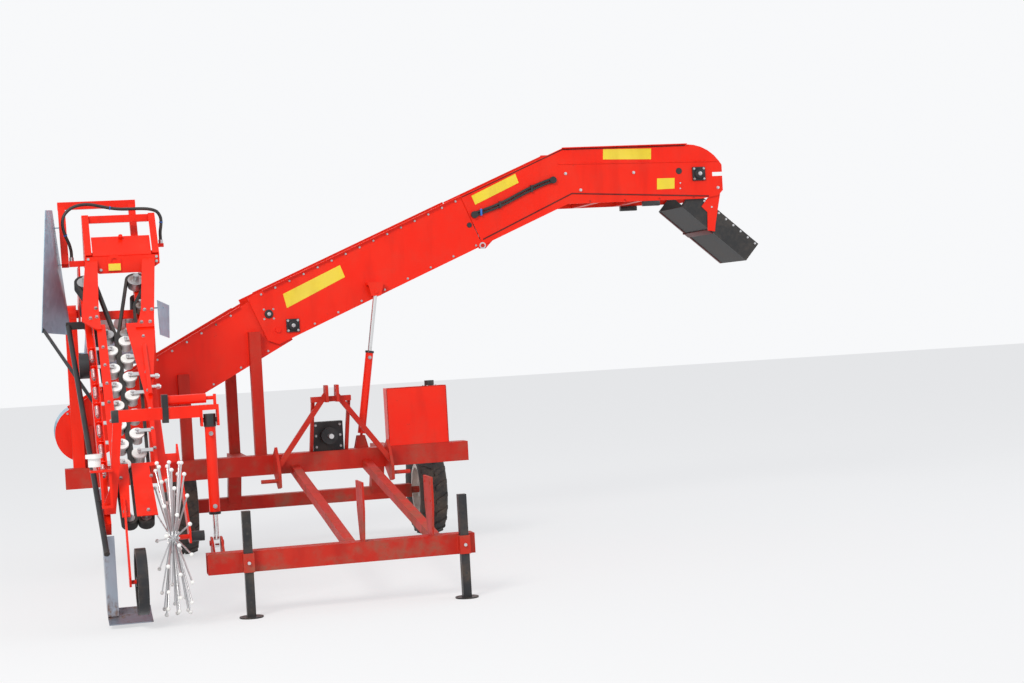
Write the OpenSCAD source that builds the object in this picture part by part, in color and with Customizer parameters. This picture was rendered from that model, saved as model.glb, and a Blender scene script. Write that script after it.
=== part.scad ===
// Carrot harvester carried by a tractor: one row, top lifting.
// Picking unit on the right side, cross conveyor behind, discharge boom to the left.
// X points to the machine's left, Y to its rear, Z up, with the ground at 0.
// Every place is measured from the lower link pins; the whole is then centred on its box.

/* [Picking unit] */
// Slope of the picking belts, degrees
unit_tilt = 40; // [36:0.5:43]
// X of the line where the two belts meet
belt_x = -1505; // [-1540:5:-1480]
// Y of the low end of the unit's own frame of axes
unit_y = -2300; // [-2340:5:-2270]
// Height of that low end
unit_z = 450; // [440:5:480]
// Thickness of a picking belt
belt_t = 18; // [12:1:20]
// Height of a picking belt
belt_h = 56; // [40:2:60]
// Radius of a belt roller under its cap
roller_r = 32; // [28:1:34]
// Radius of a roller's cap
cap_r = 45; // [38:1:47]
// Distance between rollers of one row
roller_pitch = 175; // [170:5:180]
// Rollers in each row
roller_count = 7; // [4:1:7]
// Distance along the slope to the first roller
roller_s0 = 670; // [665:5:680]
// Gap from the belts' middle to the rails
rail_gap = 70; // [64:1:74]
// Height of the rails' face over the belts' middle
rail_n = 70; // [66:1:80]
// Thickness of folded steel plate
plate_t = 6; // [4:0.5:8]
// Distance along the slope to the bottom pulleys
pulley_s = 230; // [210:5:260]
// Radius of the bottom pulleys
pulley_r = 30; // [26:1:31]
// Radius of the guide pulleys
guide_r = 45; // [42:1:48]
// Radius of the drive pulleys
drive_r = 55; // [48:1:60]
// Distance along the slope to the drive pulleys
drive_s = 2450; // [2400:5:2480]
// Side step of the drive pulleys
drive_x = 165; // [155:1:172]

/* [Finger wheel] */
// X of the finger wheel's middle
wheel_x = -1315; // [-1318:1:-1305]
// Height of its axle
wheel_z = 490; // [480:5:520]
// Y of its axle
wheel_y = -2200; // [-2230:5:-2180]
// Reach of a finger's knob centre
finger_reach = 438; // [400:2:440]
// Fingers in a ring
finger_count = 16; // [8:1:18]
// Radius of a finger
finger_r = 5; // [4:0.5:6]
// Radius of a finger's knob
knob_r = 12; // [9:1:14]
// Side lean of the outer rings at the knobs
finger_lean = 66; // [50:1:68]

/* [Head] */
// X of the head's outer side
head_x0 = -1660; // [-1670:5:-1640]
// Width of the head
head_w = 490; // [470:5:500]
// Y of the front crossbar
head_y = -350; // [-365:5:-335]
// Height of the front crossbar
head_z = 2215; // [2200:5:2230]
// Run back of the sloping front
front_run = 250; // [230:5:270]
// Rise of the sloping front
front_rise = 270; // [260:5:285]
// Y of the hoop behind the head
hoop_y = 150; // [120:5:180]
// Height of the hoop's top bar
hoop_z = 2598; // [2585:5:2610]
// Y of the picking unit's pivot
pivot_y = 300; // [280:5:310]
// Height of the picking unit's pivot
pivot_z = 1850; // [1830:5:1870]
// Radius of the pivot pins
pivot_r = 30; // [24:1:34]

/* [Cross conveyor] */
// Slope of the cross conveyor, degrees
cross_tilt = 28; // [26:0.5:30]
// Length of the cross conveyor's sides
cross_len = 1790; // [1760:5:1820]
// X of its low end
cross_x = -1880; // [-1890:5:-1860]
// Depth of the conveyor sides
side_d = 400; // [380:5:420]
// Y of the conveyor's front side
side_y = 400; // [395:1:410]
// Outside width of the conveyor
conv_w = 600; // [580:5:620]
// Thickness of the conveyor sides
side_t = 5; // [4:0.5:8]
// Width of the folded flanges
flange_w = 30; // [20:1:40]
// Radius of the web rollers
web_r = 60; // [50:1:70]
// Radius of a web rod
rod_r = 5.5; // [4:0.5:7]
// Distance between web rods
rod_pitch = 50; // [40:2:70]

/* [Boom] */
// X of the boom's raise pivot
foot_x = -300; // [-310:5:-290]
// Height of the boom's raise pivot
foot_z = 1660; // [1650:5:1670]
// X of the fold pin
fold_x = 1256; // [1240:2:1280]
// Height of the fold pin
fold_z = 2203; // [2190:1:2210]
// Slope of the boom, degrees
boom_tilt = 22.6; // [21:0.2:24]
// X of the kink in the top edge
kink_x = 1910; // [1890:5:1930]
// Height of the level part's top edge
boom_top = 2905; // [2890:5:2920]
// Depth of the level part
tip_d = 420; // [400:5:430]
// X of the nose
nose_x = 3180; // [3150:5:3200]
// X of the chute's hinge
hinge_x = 3140; // [3130:5:3150]
// Height of the chute's hinge
hinge_z = 2565; // [2555:5:2575]
// Slope of the discharge chute, degrees
chute_tilt = 41; // [36:1:45]
// Length of the discharge chute
chute_len = 720; // [650:10:760]
// Depth of the chute's sides
chute_d = 160; // [120:5:170]

/* [Frame] */
// Height of the lower link pins
link_z = 600; // [560:5:640]
// Distance between the shoulders of the lower link pins
link_span = 825; // [800:1:860]
// Radius of a lower link pin
link_r = 14; // [13:0.5:18]
// Length of a lower link pin
link_len = 120; // [100:5:130]
// Height of the top link hole over the pins
mast_h = 610; // [580:5:680]
// Radius of the top link hole
top_r = 12.75; // [9:0.25:16]
// Side of the main beam's square tube
beam_w = 140; // [120:5:150]
// Y of the main beam
beam_y = 300; // [295:5:305]
// Height of the main beam
beam_z = 700; // [680:5:720]
// Y of the wheel axle
axle_y = 1250; // [1230:5:1300]
// Radius of the support wheels
tyre_r = 355; // [340:5:370]
// Width of the support wheels
tyre_w = 210; // [180:5:230]
// X of the right wheel's middle
wheel_right_x = -1000; // [-1020:5:-960]
// X of the left wheel's middle
wheel_left_x = 900; // [880:5:940]
// Y of the belly beam
belly_y = -2200; // [-2220:5:-2190]
// Height of the belly beam
belly_z = 320; // [310:5:330]
// Side of the belly beam's square tube
belly_w = 120; // [100:5:130]
// X of the belly beam's right end
belly_x0 = -1130; // [-1140:5:-1110]
// X of the belly beam's left end
belly_x1 = 460; // [440:5:480]

/* [Lift cylinder] */
// X of the lift cylinder
lift_x = -1050; // [-1056:1:-1044]
// Y of the lift cylinder
lift_y = -2010; // [-2030:5:-2000]
// Height of its cap's pivot
lift_top = 1150; // [1140:5:1170]
// Height of its rod's eye
lift_eye = 420; // [410:5:440]
// Radius of the lift barrel
lift_r = 32; // [28:1:36]

/* [Clearances] */
// Gap round a turning pin
pin_gap = 0.3; // [0.1:0.05:0.5]
// Gap between plates that swing past each other
swing_gap = 8; // [6:0.5:10]

/* [Hidden] */
$fn = 48;
red = "orangered";
dark = "dimgray";
steel = "silver";
white = "whitesmoke";
black = "#222222";
zinc = "lightsteelblue";

// The whole is centred on its box
outer_x = -1970;
chute_drop = 290;
chute_back = 190;
tip_x = hinge_x + (chute_len - chute_back) * cos(chute_tilt) - (chute_drop - chute_d) * sin(chute_tilt);
mid_x = (outer_x + tip_x) / 2;
mid_y = (wheel_y - finger_reach - knob_r + axle_y + tyre_r) / 2;

module placed() {
  translate([-mid_x, -mid_y, 0]) children();
}

// Plate with its outline in X and Z, from y0 back by t
module xz(y0, t) {
  translate([0, y0 + t, 0]) rotate([90, 0, 0]) linear_extrude(t) children();
}

// Plate with its outline in Y and Z, from x0 to the left by t
module yz(x0, t) {
  translate([x0, 0, 0]) rotate([90, 0, 90]) linear_extrude(t) children();
}

// Block from its low corner to its high corner
module block(a, b) {
  translate(a) cube(b - a);
}

// Round bar between two points
module bar(p, q, r) {
  v = q - p;
  translate(p) rotate([0, acos(v[2] / norm(v)), atan2(v[1], v[0])]) cylinder(r = r, h = norm(v));
}

// Square tube between two points of one Y and Z plane, w wide along X
module slanted(x, p, q, w, d) {
  v = q - p;
  translate([x - w / 2, p[0], p[1]]) rotate([atan2(v[1], v[0]), 0, 0])
    translate([0, 0, -d / 2]) cube([w, norm(v), d]);
}

// Sheet of 4 mm on four corners, folded along one diagonal
module flared(c) {
  polyhedron([for (dx = [0, 4], p = c) p + [dx, 0, 0]],
    [[0, 1, 2], [0, 2, 3], [4, 6, 5], [4, 7, 6], [0, 5, 1], [0, 4, 5], [1, 6, 2], [1, 5, 6], [2, 7, 3],
    [2, 6, 7],
      [3, 4, 0], [3, 7, 4]]);
}

// Direction of a route at its point i, and a ring of ten corners square to it
function along(p, i) = let (v = p[min(i + 1, len(p) - 1)] - p[max(i - 1, 0)]) v / norm(v);
function ring(p, i, r) = let (d = along(p, i), c = cross([0, 1, 0], d), u = c / norm(c), v = cross(d, u))
  [for (a = [0:36:324]) p[i] + r * (cos(a) * u + sin(a) * v)];

// Tube along a route of points
module tube(p, r) {
  last = (len(p) - 1) * 10;
  polyhedron([for (i = [0:len(p) - 1], q = ring(p, i, r)) q],
    concat([[for (k = [0:9]) k], [for (k = [9:-1:0]) last + k]],
      [for (i = [0:len(p) - 2], k = [0:9]) [i * 10 + k, i * 10 + 10 + k, i * 10 + 10 + (k + 1) % 10]],
      [for (i = [0:len(p) - 2], k = [0:9]) [i * 10 + k, i * 10 + 10 + (k + 1) % 10,
      i * 10 + (k + 1) % 10]]));
}

// Pin or boss along X
module pin_x(x, y, z, r, len) {
  translate([x, y, z]) rotate([0, 90, 0]) cylinder(r = r, h = len);
}

// Pin or boss along Y
module pin_y(x, y, z, r, len) {
  translate([x, y + len, z]) rotate([90, 0, 0]) cylinder(r = r, h = len);
}

// Axes of the picking unit: y up the slope, z square to it, x from the belts' middle
module unit() {
  translate([belt_x, unit_y, unit_z]) rotate([unit_tilt, 0, 0]) children();
}

// Place in Y and Z of a point s up the slope and n square to it
function up(s, n) = [unit_y + s * cos(unit_tilt) - n * sin(unit_tilt),
  unit_z + s * sin(unit_tilt) + n * cos(unit_tilt)];

// Belt path round circles [x, y, r]; r is negative where the belt's back runs on the circle.
// Travel keeps the inside of the loop on the left.
function travel(a, b) = atan2(b[1] - a[1], b[0] - a[0])
  - asin((b[2] - a[2]) / norm([b[0] - a[0], b[1] - a[1]]));
function touch(c, phi) = [c[0] + c[2] * sin(phi), c[1] - c[2] * cos(phi)];
function turn(a, b) = b - a - 360 * floor((b - a) / 360);

// Points of such a path, moved outwards by grow, with the turns in steps of about 8 degrees
function path_turn(path, i, grow) = let (n = len(path), b = path[(i + 1) % n],
  phi = travel(path[i], b), next = travel(b, path[(i + 2) % n]),
  sweep = b[2] > 0 ? turn(phi, next) : -turn(next, phi), steps = max(1, ceil(abs(sweep) / 8)))
  [for (k = [0:steps]) touch([b[0], b[1], b[2] + grow], phi + sweep * k / steps)];
function path_points(path, grow) = [for (i = [0:len(path) - 1], p = path_turn(path, i, grow)) p];

// Flat outline of a belt of thickness t on such a path
module belt_outline(path, t) {
  difference() {
    polygon(path_points(path, t));
    polygon(path_points(path, 0));
  }
}

// Rods across a web: evenly along each straight run, and three round each big turn
module web_rods(path, y0, y1) {
  n = len(path);
  for (i = [0:n - 1]) {
    a = path[i];
    b = path[(i + 1) % n];
    phi = travel(a, b);
    p = touch(a, phi);
    q = touch(b, phi);
    count = max(1, floor(norm(q - p) / rod_pitch));
    for (k = [0:count - 1])
      rod_at(p + (q - p) * (k + 0.5) / count + web_t / 2 * [sin(phi), -cos(phi)], y0, y1);
    sweep = turn(phi, travel(b, path[(i + 2) % n]));
    if (b[2] > 0 && sweep > 40)
      for (k = [1:3])
        rod_at([b[0], b[1]] + (b[2] + web_t / 2)
          * [sin(phi + sweep * k / 4), -cos(phi + sweep * k / 4)], y0, y1);
  }
}

module rod_at(p, y0, y1) {
  pin_y(p[0], y0, p[1], rod_r, y1 - y0);
}

// Web: two side belts and the rods that they carry
web_t = 14;
web_belt = 45;
inner = side_t + 15;
web_y0 = side_y + inner + side_t + 2;
web_y1 = side_y + conv_w - inner - side_t - 2;
module web(path) {
  color(black) for (y = [web_y0, web_y1 - web_belt])
    xz(y, web_belt) belt_outline(path, web_t);
  color(steel) web_rods(path, web_y0 + 6, web_y1 - 6);
}

// Rollers under a web's two belts, on shafts between the conveyor's sides
module web_rollers(path, y0, y1) {
  color(steel) for (c = path)
    if (c[2] > 0) {
      pin_y(c[0], y0, c[1], c[2] * 0.4, y1 - y0);
      for (y = [web_y0, web_y1 - web_belt]) pin_y(c[0], y, c[1], c[2] - pin_gap, web_belt);
    }
}

// Sizes of the picking unit's rails and beams
rail_s0 = 640;
rail_s1 = 1950;
left_w = 80;
plate_x = 125;
left_beam = 40;
right_x = rail_gap + left_w;
right_beam = 60;
beam_n0 = -130;
beam_n1 = -40;
beam_s1 = 2560;
left_s0 = 260;

// Main beam and its outer shape, which cuts what is welded to it
beam_front = beam_y - beam_w / 2;
beam_back = beam_y + beam_w / 2;
beam_top = beam_z + beam_w / 2;
beam_low = beam_z - beam_w / 2;
beam_x0 = cross_x + 20;
beam_x1 = 1020;
beam_wall = 8;
module beam_body() {
  block([beam_x0, beam_front, beam_low], [beam_x1, beam_back, beam_top]);
}
module main_frame() placed() color(red) {
  for (y = [ram_y - 27, ram_y + 17])
    xz(y, 10) translate([ram_x, beam_top]) polygon([[-50, 0], [50, 0], [28, 90], [-28, 90]]);
  color(steel) pin_y(ram_x, ram_y - 27, ram_z, ram_pin, 54);
  difference() {
    beam_body();
    block([beam_x0 + beam_wall, beam_front + beam_wall, beam_low + beam_wall],
      [beam_x1 - beam_wall, beam_back - beam_wall, beam_top - beam_wall]);
  }
}

// Headstock: side plates with the lower link pins, braces and the top link's clevis
stock_t = 20;
stock_x = link_span / 2 - stock_t;
clevis_in = 28;
clevis_z = link_z + mast_h;
module headstock() placed() color(red) {
  for (s = [0, 1]) mirror([s, 0, 0]) {
    yz(stock_x, stock_t)
      polygon([[-45, link_z - 45], [45, link_z - 60], [beam_front, beam_low], [beam_front, beam_top],
        [110, beam_top + 60], [30, link_z + 160], [-45, link_z + 50]]);
    pin_x(link_span / 2, 0, link_z, link_r, link_len);
    difference() {
      yz(clevis_in, stock_t) polygon([[-38, clevis_z - 80], [-38, clevis_z + 40], [60, clevis_z + 40],
        [90, clevis_z - 80]]);
      pin_x(0, 0, clevis_z, top_r, 200);
    }
    xz(24, 34) polygon([[stock_x + 4, link_z + 70], [stock_x + 4, link_z + 130],
      [clevis_in + stock_t - 4, clevis_z - 5],
      [clevis_in + stock_t - 4, clevis_z - 65]]);
    difference() {
      slanted(128, [beam_y, beam_top - 30], [60, clevis_z - 60], 22, 40);
      beam_body();
    }
  }
  block([-142, 32, clevis_z - 78], [142, 82, clevis_z - 40]);
}

// Axle beam: two arms back from the main beam, the cross tube and the stub axles
arm_xs = [-600, 500];
arm_w = 100;
hub_gap = 20;
module axle_beam() placed() color(red) {
  for (x = arm_xs) {
    block([x - arm_w / 2, beam_back, beam_z - 50], [x + arm_w / 2, axle_y - 130, beam_z + 50]);
    slanted(x, [axle_y - 180, beam_z], [axle_y, tyre_r], arm_w - 4, 90);
  }
  block([wheel_right_x + tyre_w / 2 + hub_gap, axle_y - 50, tyre_r - 50],
    [wheel_left_x - tyre_w / 2 - hub_gap, axle_y + 50, tyre_r + 50]);
  pin_x(wheel_right_x - 70, axle_y, tyre_r, axle_r, wheel_left_x - wheel_right_x + 140);
}

// Posts that carry the cross conveyor
cross_z = 1540 - (-1130 - cross_x) * tan(cross_tilt);
function cross_top(x) = cross_z + (x - cross_x) * tan(cross_tilt);
post_w = 80;
post_xs = [-1000, -480];
module conveyor_posts() placed() color(red) {
  for (x = post_xs)
    block([x - post_w / 2, beam_back - 40, beam_top], [x + post_w / 2, side_y + inner, cross_top(x) - 230]);
  block([arm_xs[0] - post_w / 2, side_y + conv_w - inner, beam_z + 50],
    [arm_xs[0] + post_w / 2, side_y + conv_w - inner + 60, cross_top(arm_xs[0]) - 230]);
  block([cross_x + 130, beam_back, beam_z - 40], [cross_x + 230, side_y + inner,
    cross_top(cross_x + 180) - 180]);
}

// Posts and pivot pins of the picking unit, outside its two arms
arm_t = 12;
arm_left = belt_x - right_x - left_beam;
arm_right = belt_x + right_x + right_beam;
mast_out = arm_left - arm_t - 14;
mast_in = arm_right + arm_t + 14;
module picker_mast() placed() color(red) {
  for (x = [mast_out - post_w, mast_in])
    difference() {
      union() {
        block([x, pivot_y - 50, beam_top], [x + post_w, pivot_y + 50, pivot_z]);
        pin_x(x, pivot_y, pivot_z, 62, post_w);
      }
      block([x + beam_wall, pivot_y - 42, beam_top + beam_wall], [x + post_w - beam_wall, pivot_y + 42,
        pivot_z - 80]);
    }
  color(steel) pin_x(mast_out, pivot_y, pivot_z, pivot_r, 14 + arm_t + 4);
  color(steel) pin_x(mast_in - 14 - arm_t - 4, pivot_y, pivot_z, pivot_r, 14 + arm_t + 4);
}

// Tubes from the main beam forward to the belly beam
push_w = 60;
push_xs = [-260, 260];
module push_tubes() placed() color(red)
  difference() {
    for (x = push_xs)
      slanted(x, [belly_y, belly_z], [beam_y, beam_z - 30], push_w, push_w);
    beam_body();
    belly_body();
  }

// Belly beam with its side plates, the stand sleeves and the lift cylinder's bracket
belly_xs = [-215, 200];
bolt_dy = 70;
bolt_dz = 110;
bolt_z = belly_z + 325;
module belly_body() {
  block([belly_x0, belly_y - belly_w / 2, belly_z - belly_w / 2], [belly_x1, belly_y + belly_w / 2,
    belly_z + belly_w / 2]);
}
module belly_beam() placed() color(red) {
  difference() {
    belly_body();
    block([belly_x0 - 10, belly_y - belly_w / 2 + 8, belly_z - belly_w / 2 + 8],
      [belly_x1 + 10, belly_y + belly_w / 2 - 8, belly_z + belly_w / 2 - 8]);
  }
  for (x = belly_xs)
    difference() {
      yz(x, 12) polygon([[belly_y - 60, belly_z + belly_w / 2], [belly_y + 60, belly_z + belly_w / 2],
        [belly_y + 110, bolt_z - 80], [belly_y + 110, bolt_z + 90], [belly_y - 110, bolt_z + 90],
        [belly_y - 110, bolt_z - 80]]);
      for (dy = [-bolt_dy, bolt_dy], dz = [-bolt_dz / 2, bolt_dz / 2])
        pin_x(x - 10, belly_y + dy, bolt_z + dz, 9, 40);
    }
  for (s = [-1, 1])
    yz(lift_x + s * 28 - 6, 12) polygon([[belly_y + belly_w / 2, belly_z - 50],
      [lift_y + 35, lift_eye - 60], [lift_y + 35, lift_eye + 35], [lift_y - 35, lift_eye + 35],
      [belly_y + belly_w / 2, belly_z + 55]]);
  color(steel) for (x = [lift_x - 42, lift_x + 34])
    pin_x(x, lift_y, lift_eye, 16, 8);
  for (x = stand_xs)
    difference() {
      block([x - stand_w / 2 - 7, stand_y - stand_w / 2 - 7, belly_z - 55], [x + stand_w / 2 + 7,
        belly_y - belly_w / 2, belly_z + 55]);
      block([x - stand_w / 2 - stand_gap, stand_y - stand_w / 2 - stand_gap, belly_z - 60],
        [x + stand_w / 2 + stand_gap, stand_y + stand_w / 2 + stand_gap, belly_z + 60]);
    }
}

// Parking stands in sleeves on the belly beam
stand_xs = [-900, 385];
stand_w = 50;
stand_gap = 0.4;
stand_y = belly_y - belly_w / 2 - stand_w / 2 - 7;
module stand(x) color(dark) {
  block([x - stand_w / 2, stand_y - stand_w / 2, 8], [x + stand_w / 2, stand_y + stand_w / 2, 620]);
  translate([x, stand_y, 0]) cylinder(r = 70, h = 8);
}
module stand_right() placed() stand(stand_xs[0]);
module stand_left() placed() stand(stand_xs[1]);

// Axes of the cross conveyor: x along it from the low end of its top edge
module on_cross() {
  translate([cross_x, 0, cross_z]) rotate([0, -cross_tilt, 0]) children();
}
cross_path = [[90, -220, web_r], [cross_len - 150, -150, web_r]];
end_x = 85;

// Trough of the cross conveyor: sides with flanges, end plate, ties and the boom's pivot pins
pivot_len = inner + 10;
module cross_trough() placed() {
  color(red) on_cross() {
    for (s = [0, 1]) {
      y = s == 0 ? side_y + inner : side_y + conv_w - inner - side_t;
      xz(y, side_t) union() {
        polygon([[end_x, 0], [cross_len, 0], [cross_len - 90, -side_d * 0.5], [cross_len - 95, -side_d],
          [end_x, -side_d]]);
        translate([end_x, -side_d / 2]) circle(r = side_d / 2);
      }
      fy = s == 0 ? y - flange_w + side_t : y;
      block([end_x, fy, 0], [cross_len - 300, fy + flange_w, side_t]);
    }
    color(zinc) xz(side_y + inner + side_t, conv_w - 2 * inner - 2 * side_t) difference() {
      translate([end_x, -side_d / 2]) circle(r = side_d / 2);
      translate([end_x, -side_d / 2]) circle(r = side_d / 2 - side_t);
      translate([end_x, -side_d]) square([side_d, side_d]);
      translate([end_x - side_d, -side_d / 2]) square([side_d * 0.7, side_d]);
    }
    for (x = [60, cross_len / 2, cross_len - 200])
      block([x, side_y + inner + side_t, -side_d], [x + 50, side_y + conv_w - inner - side_t,
        -side_d + 30]);
  }
  color(steel) pin_y(foot_x, side_y + inner - pivot_len, foot_z, 20, pivot_len);
  color(steel) pin_y(foot_x, side_y + conv_w - inner, foot_z, 20, pivot_len);
}

module cross_web() placed() on_cross() {
  web(cross_path);
  web_rollers(cross_path, side_y + inner + side_t, side_y + conv_w - inner - side_t);
}

// Sheet with side walls that takes the topped roots to the cross conveyor
sheet_top = [-330, 1705];
sheet_low = [440, 1482];
module transfer_chute() placed() color(zinc) {
  x0 = arm_left + 16;
  x1 = arm_right - 16;
  yz(x0, x1 - x0) polygon([sheet_top, sheet_top - [0, 5], sheet_low - [0, 5], sheet_low]);
  for (x = [x0, x1 - 4])
    yz(x, 4) polygon([sheet_top, sheet_low, sheet_low + [0, 90], sheet_top + [0, 60]]);
  pin_x(mast_out, pivot_y, 1565, 12, x0 - mast_out + 4);
  pin_x(x1 - 4, pivot_y, 1565, 12, mast_in - x1 + 4);
}

// Gearbox with its pump, and the splined input shaft
pto_z = beam_top + 110;
pto_r = 17.4;
pto_len = 80;
module gearbox() placed() color(dark) {
  block([-110, beam_y - 25, beam_top], [110, beam_y + 60, beam_top + 210]);
  pin_y(0, beam_y - 110, pto_z, 60, 85);
  pin_y(0, beam_y + 60, pto_z, 50, 40);
}
module pto_stub() placed() color(steel)
  pin_y(0, beam_y - 110 - pin_gap - pto_len, pto_z, pto_r, pto_len);

// Oil tank on the main beam
tank_x = 440;
module oil_tank() placed() {
  color(red) block([tank_x, beam_y - 60, beam_top], [tank_x + 440, beam_y + 80, beam_top + 420]);
  color(black) translate([tank_x + 330, beam_y, beam_top + 420]) cylinder(r = 35, h = 40);
}

// Support wheel: tyre and rim turned about X
rim_r = 200;
axle_r = 25;
module tyre(x) color(black) translate([x, axle_y, tyre_r]) rotate([0, 90, 0])
  rotate_extrude($fn = 72) polygon([[rim_r, -tyre_w * 0.38], [rim_r + 60, -tyre_w / 2], [tyre_r - 40,
    -tyre_w / 2],
    [tyre_r - 8, -tyre_w * 0.4], [tyre_r, -tyre_w * 0.25], [tyre_r, tyre_w * 0.25], [tyre_r - 8,
    tyre_w * 0.4],
    [tyre_r - 40, tyre_w / 2], [rim_r + 60, tyre_w / 2], [rim_r, tyre_w * 0.38]]);
module rim(x) color(white) translate([x, axle_y, tyre_r]) rotate([0, 90, 0])
  rotate_extrude($fn = 72) polygon([[axle_r + pin_gap, -60], [60, -60], [60, -10], [150, -10],
    [rim_r - 30, -40],
    [rim_r - 30, -tyre_w * 0.38], [rim_r, -tyre_w * 0.38], [rim_r, tyre_w * 0.38], [rim_r - 30,
    tyre_w * 0.38],
    [rim_r - 30, -30], [150, 0], [60, 0], [60, 60], [axle_r + pin_gap, 60]]);
module tyre_right() placed() tyre(wheel_right_x);
module rim_right() placed() rim(wheel_right_x);
module tyre_left() placed() tyre(wheel_left_x);
module rim_left() placed() rim(wheel_left_x);

// Rails over the two roller rows, with the beams that carry them
module left_beam_body() {
  block([-right_x - left_beam, left_s0, beam_n0], [-right_x, beam_s1, beam_n1]);
}
module rail_left() placed() color(red) unit() {
  block([-plate_x, rail_s0, rail_n - plate_t], [-rail_gap, rail_s1, rail_n]);
  block([-right_x, rail_s0, beam_n1 - 30], [-right_x + plate_t, rail_s1, rail_n]);
  left_beam_body();
}
module rail_right() placed() color(red) unit() {
  translate([0, 0, rail_n - plate_t]) linear_extrude(plate_t)
    polygon([[rail_gap + 62, rail_s0], [right_x, rail_s0], [right_x + 14, 1170], [right_x + 89, 1850],
      [right_x + 89, rail_s1], [rail_gap - 8, rail_s1], [rail_gap - 8, 1900], [rail_gap + 62, 1170]]);
  color(steel) translate([right_x + 8, 1230, rail_n + 14]) rotate([-90, 0, 0]) cylinder(r = 14, h = 480);
  block([right_x - plate_t, rail_s0, beam_n1 - 30], [right_x, rail_s1, rail_n - plate_t]);
  block([right_x, rail_s0 - 60, beam_n0], [right_x + right_beam, beam_s1, beam_n1]);
  block([-right_x - left_beam, topper_s - 40, beam_n0 - 10], [right_x + right_beam, topper_s + 40,
    beam_n0]);
}

// Place, radius and height of the upright pulley by the front arm
loop_at = [-1732, -2085, 905];
loop_r = 36;
loop_h = 50;

// Two rows of capped rollers, staggered by half a pitch, on swing arms under the rails
roller_x = belt_t + roller_r;
arm_n = rail_n - 2 * plate_t;
module belt_rollers() placed() {
  translate(loop_at) {
    color(steel) cylinder(r = 10, h = 20);
    color(white) translate([0, 0, 20]) cylinder(r = loop_r, h = loop_h);
    color(white) translate([0, 0, 20 + loop_h]) cylinder(r = loop_r + 14, h = 22);
  }
  unit() for (side = [0, 1], k = [0:roller_count - 1])
    mirror([1 - side, 0, 0]) translate([roller_x, roller_s0 + roller_pitch * (k + side / 2), 0]) roller();
}

module roller() {
  color(white) translate([0, 0, -belt_h / 2]) cylinder(r = roller_r, h = belt_h);
  color(white) translate([0, 0, belt_h / 2 + 4]) cylinder(r = cap_r, h = 12);
  color(steel) translate([0, 0, -belt_h / 2 - 12]) cylinder(r = 8, h = arm_n + belt_h / 2 + 12);
  color(dark) block([-12, -14, arm_n], [right_x - plate_t - roller_x, 14, arm_n + plate_t]);
}

// Path of the right belt: bottom pulley, back idler, drive pulley, guide pulley
idler_r = 30;
idler_s = 2180;
idler_x = 3 * belt_t + 2 * guide_r + idler_r + 16;
guide_s = 1900;
belt_path = [[belt_t + pulley_r, pulley_s, pulley_r], [idler_x - belt_t, idler_s, -idler_r - belt_t],
  [drive_x, drive_s, drive_r], [belt_t + guide_r, guide_s, guide_r]];
belt_nip = 0.15;
module picking_belts() placed() color(black) unit()
  for (s = [0, 1]) mirror([s, 0, 0]) translate([0, 0, -belt_h / 2]) linear_extrude(belt_h)
    belt_outline(belt_path, belt_t - belt_nip);

// Pulleys of both belts with their pins and the drive motors under the beams
module belt_pulleys() placed() unit()
  for (s = [0, 1]) mirror([s, 0, 0]) {
    for (c = belt_path)
      color(steel) translate([c[0], c[1], -belt_h / 2])
        cylinder(r = (c[2] > 0 ? c[2] : -c[2] - belt_t) - pin_gap, h = belt_h);
    for (c = [belt_path[0], belt_path[3]])
      color(steel) translate([c[0], c[1], 0]) cylinder(r = 10, h = rail_n - plate_t);
    color(steel) translate([belt_path[1][0], idler_s, beam_n1]) cylinder(r = 10, h = rail_n - beam_n1);
    color(steel) translate([drive_x, drive_s, beam_n1]) cylinder(r = 18, h = rail_n - beam_n1);
    color(dark) translate([drive_x, drive_s, beam_n0 - 120]) cylinder(r = 42, h = 120);
  }

// Spring rods with small brackets beside the left rail
rod_x = -right_x - 20;
module tension_rods() placed() unit()
  for (k = [0:roller_count - 1]) {
    s = roller_s0 + roller_pitch * k;
    color(steel) translate([rod_x, s - 90, 34]) rotate([-90, 0, 0]) cylinder(r = 6, h = 130);
    color(steel) translate([rod_x, s - 80, 34]) rotate([-90, 0, 0]) cylinder(r = 11, h = 90);
    color(red) block([rod_x - 16, s + 22, 10], [-right_x, s + 28, 50]);
  }

// Head: sloping box frame over the drive pulleys, with flat legs down to the rails
head_tilt = atan2(front_rise, front_run);
head_x1 = head_x0 + head_w;
head_t = 50;
side_w = 45;
eye_x = head_x0 + 190;
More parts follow.
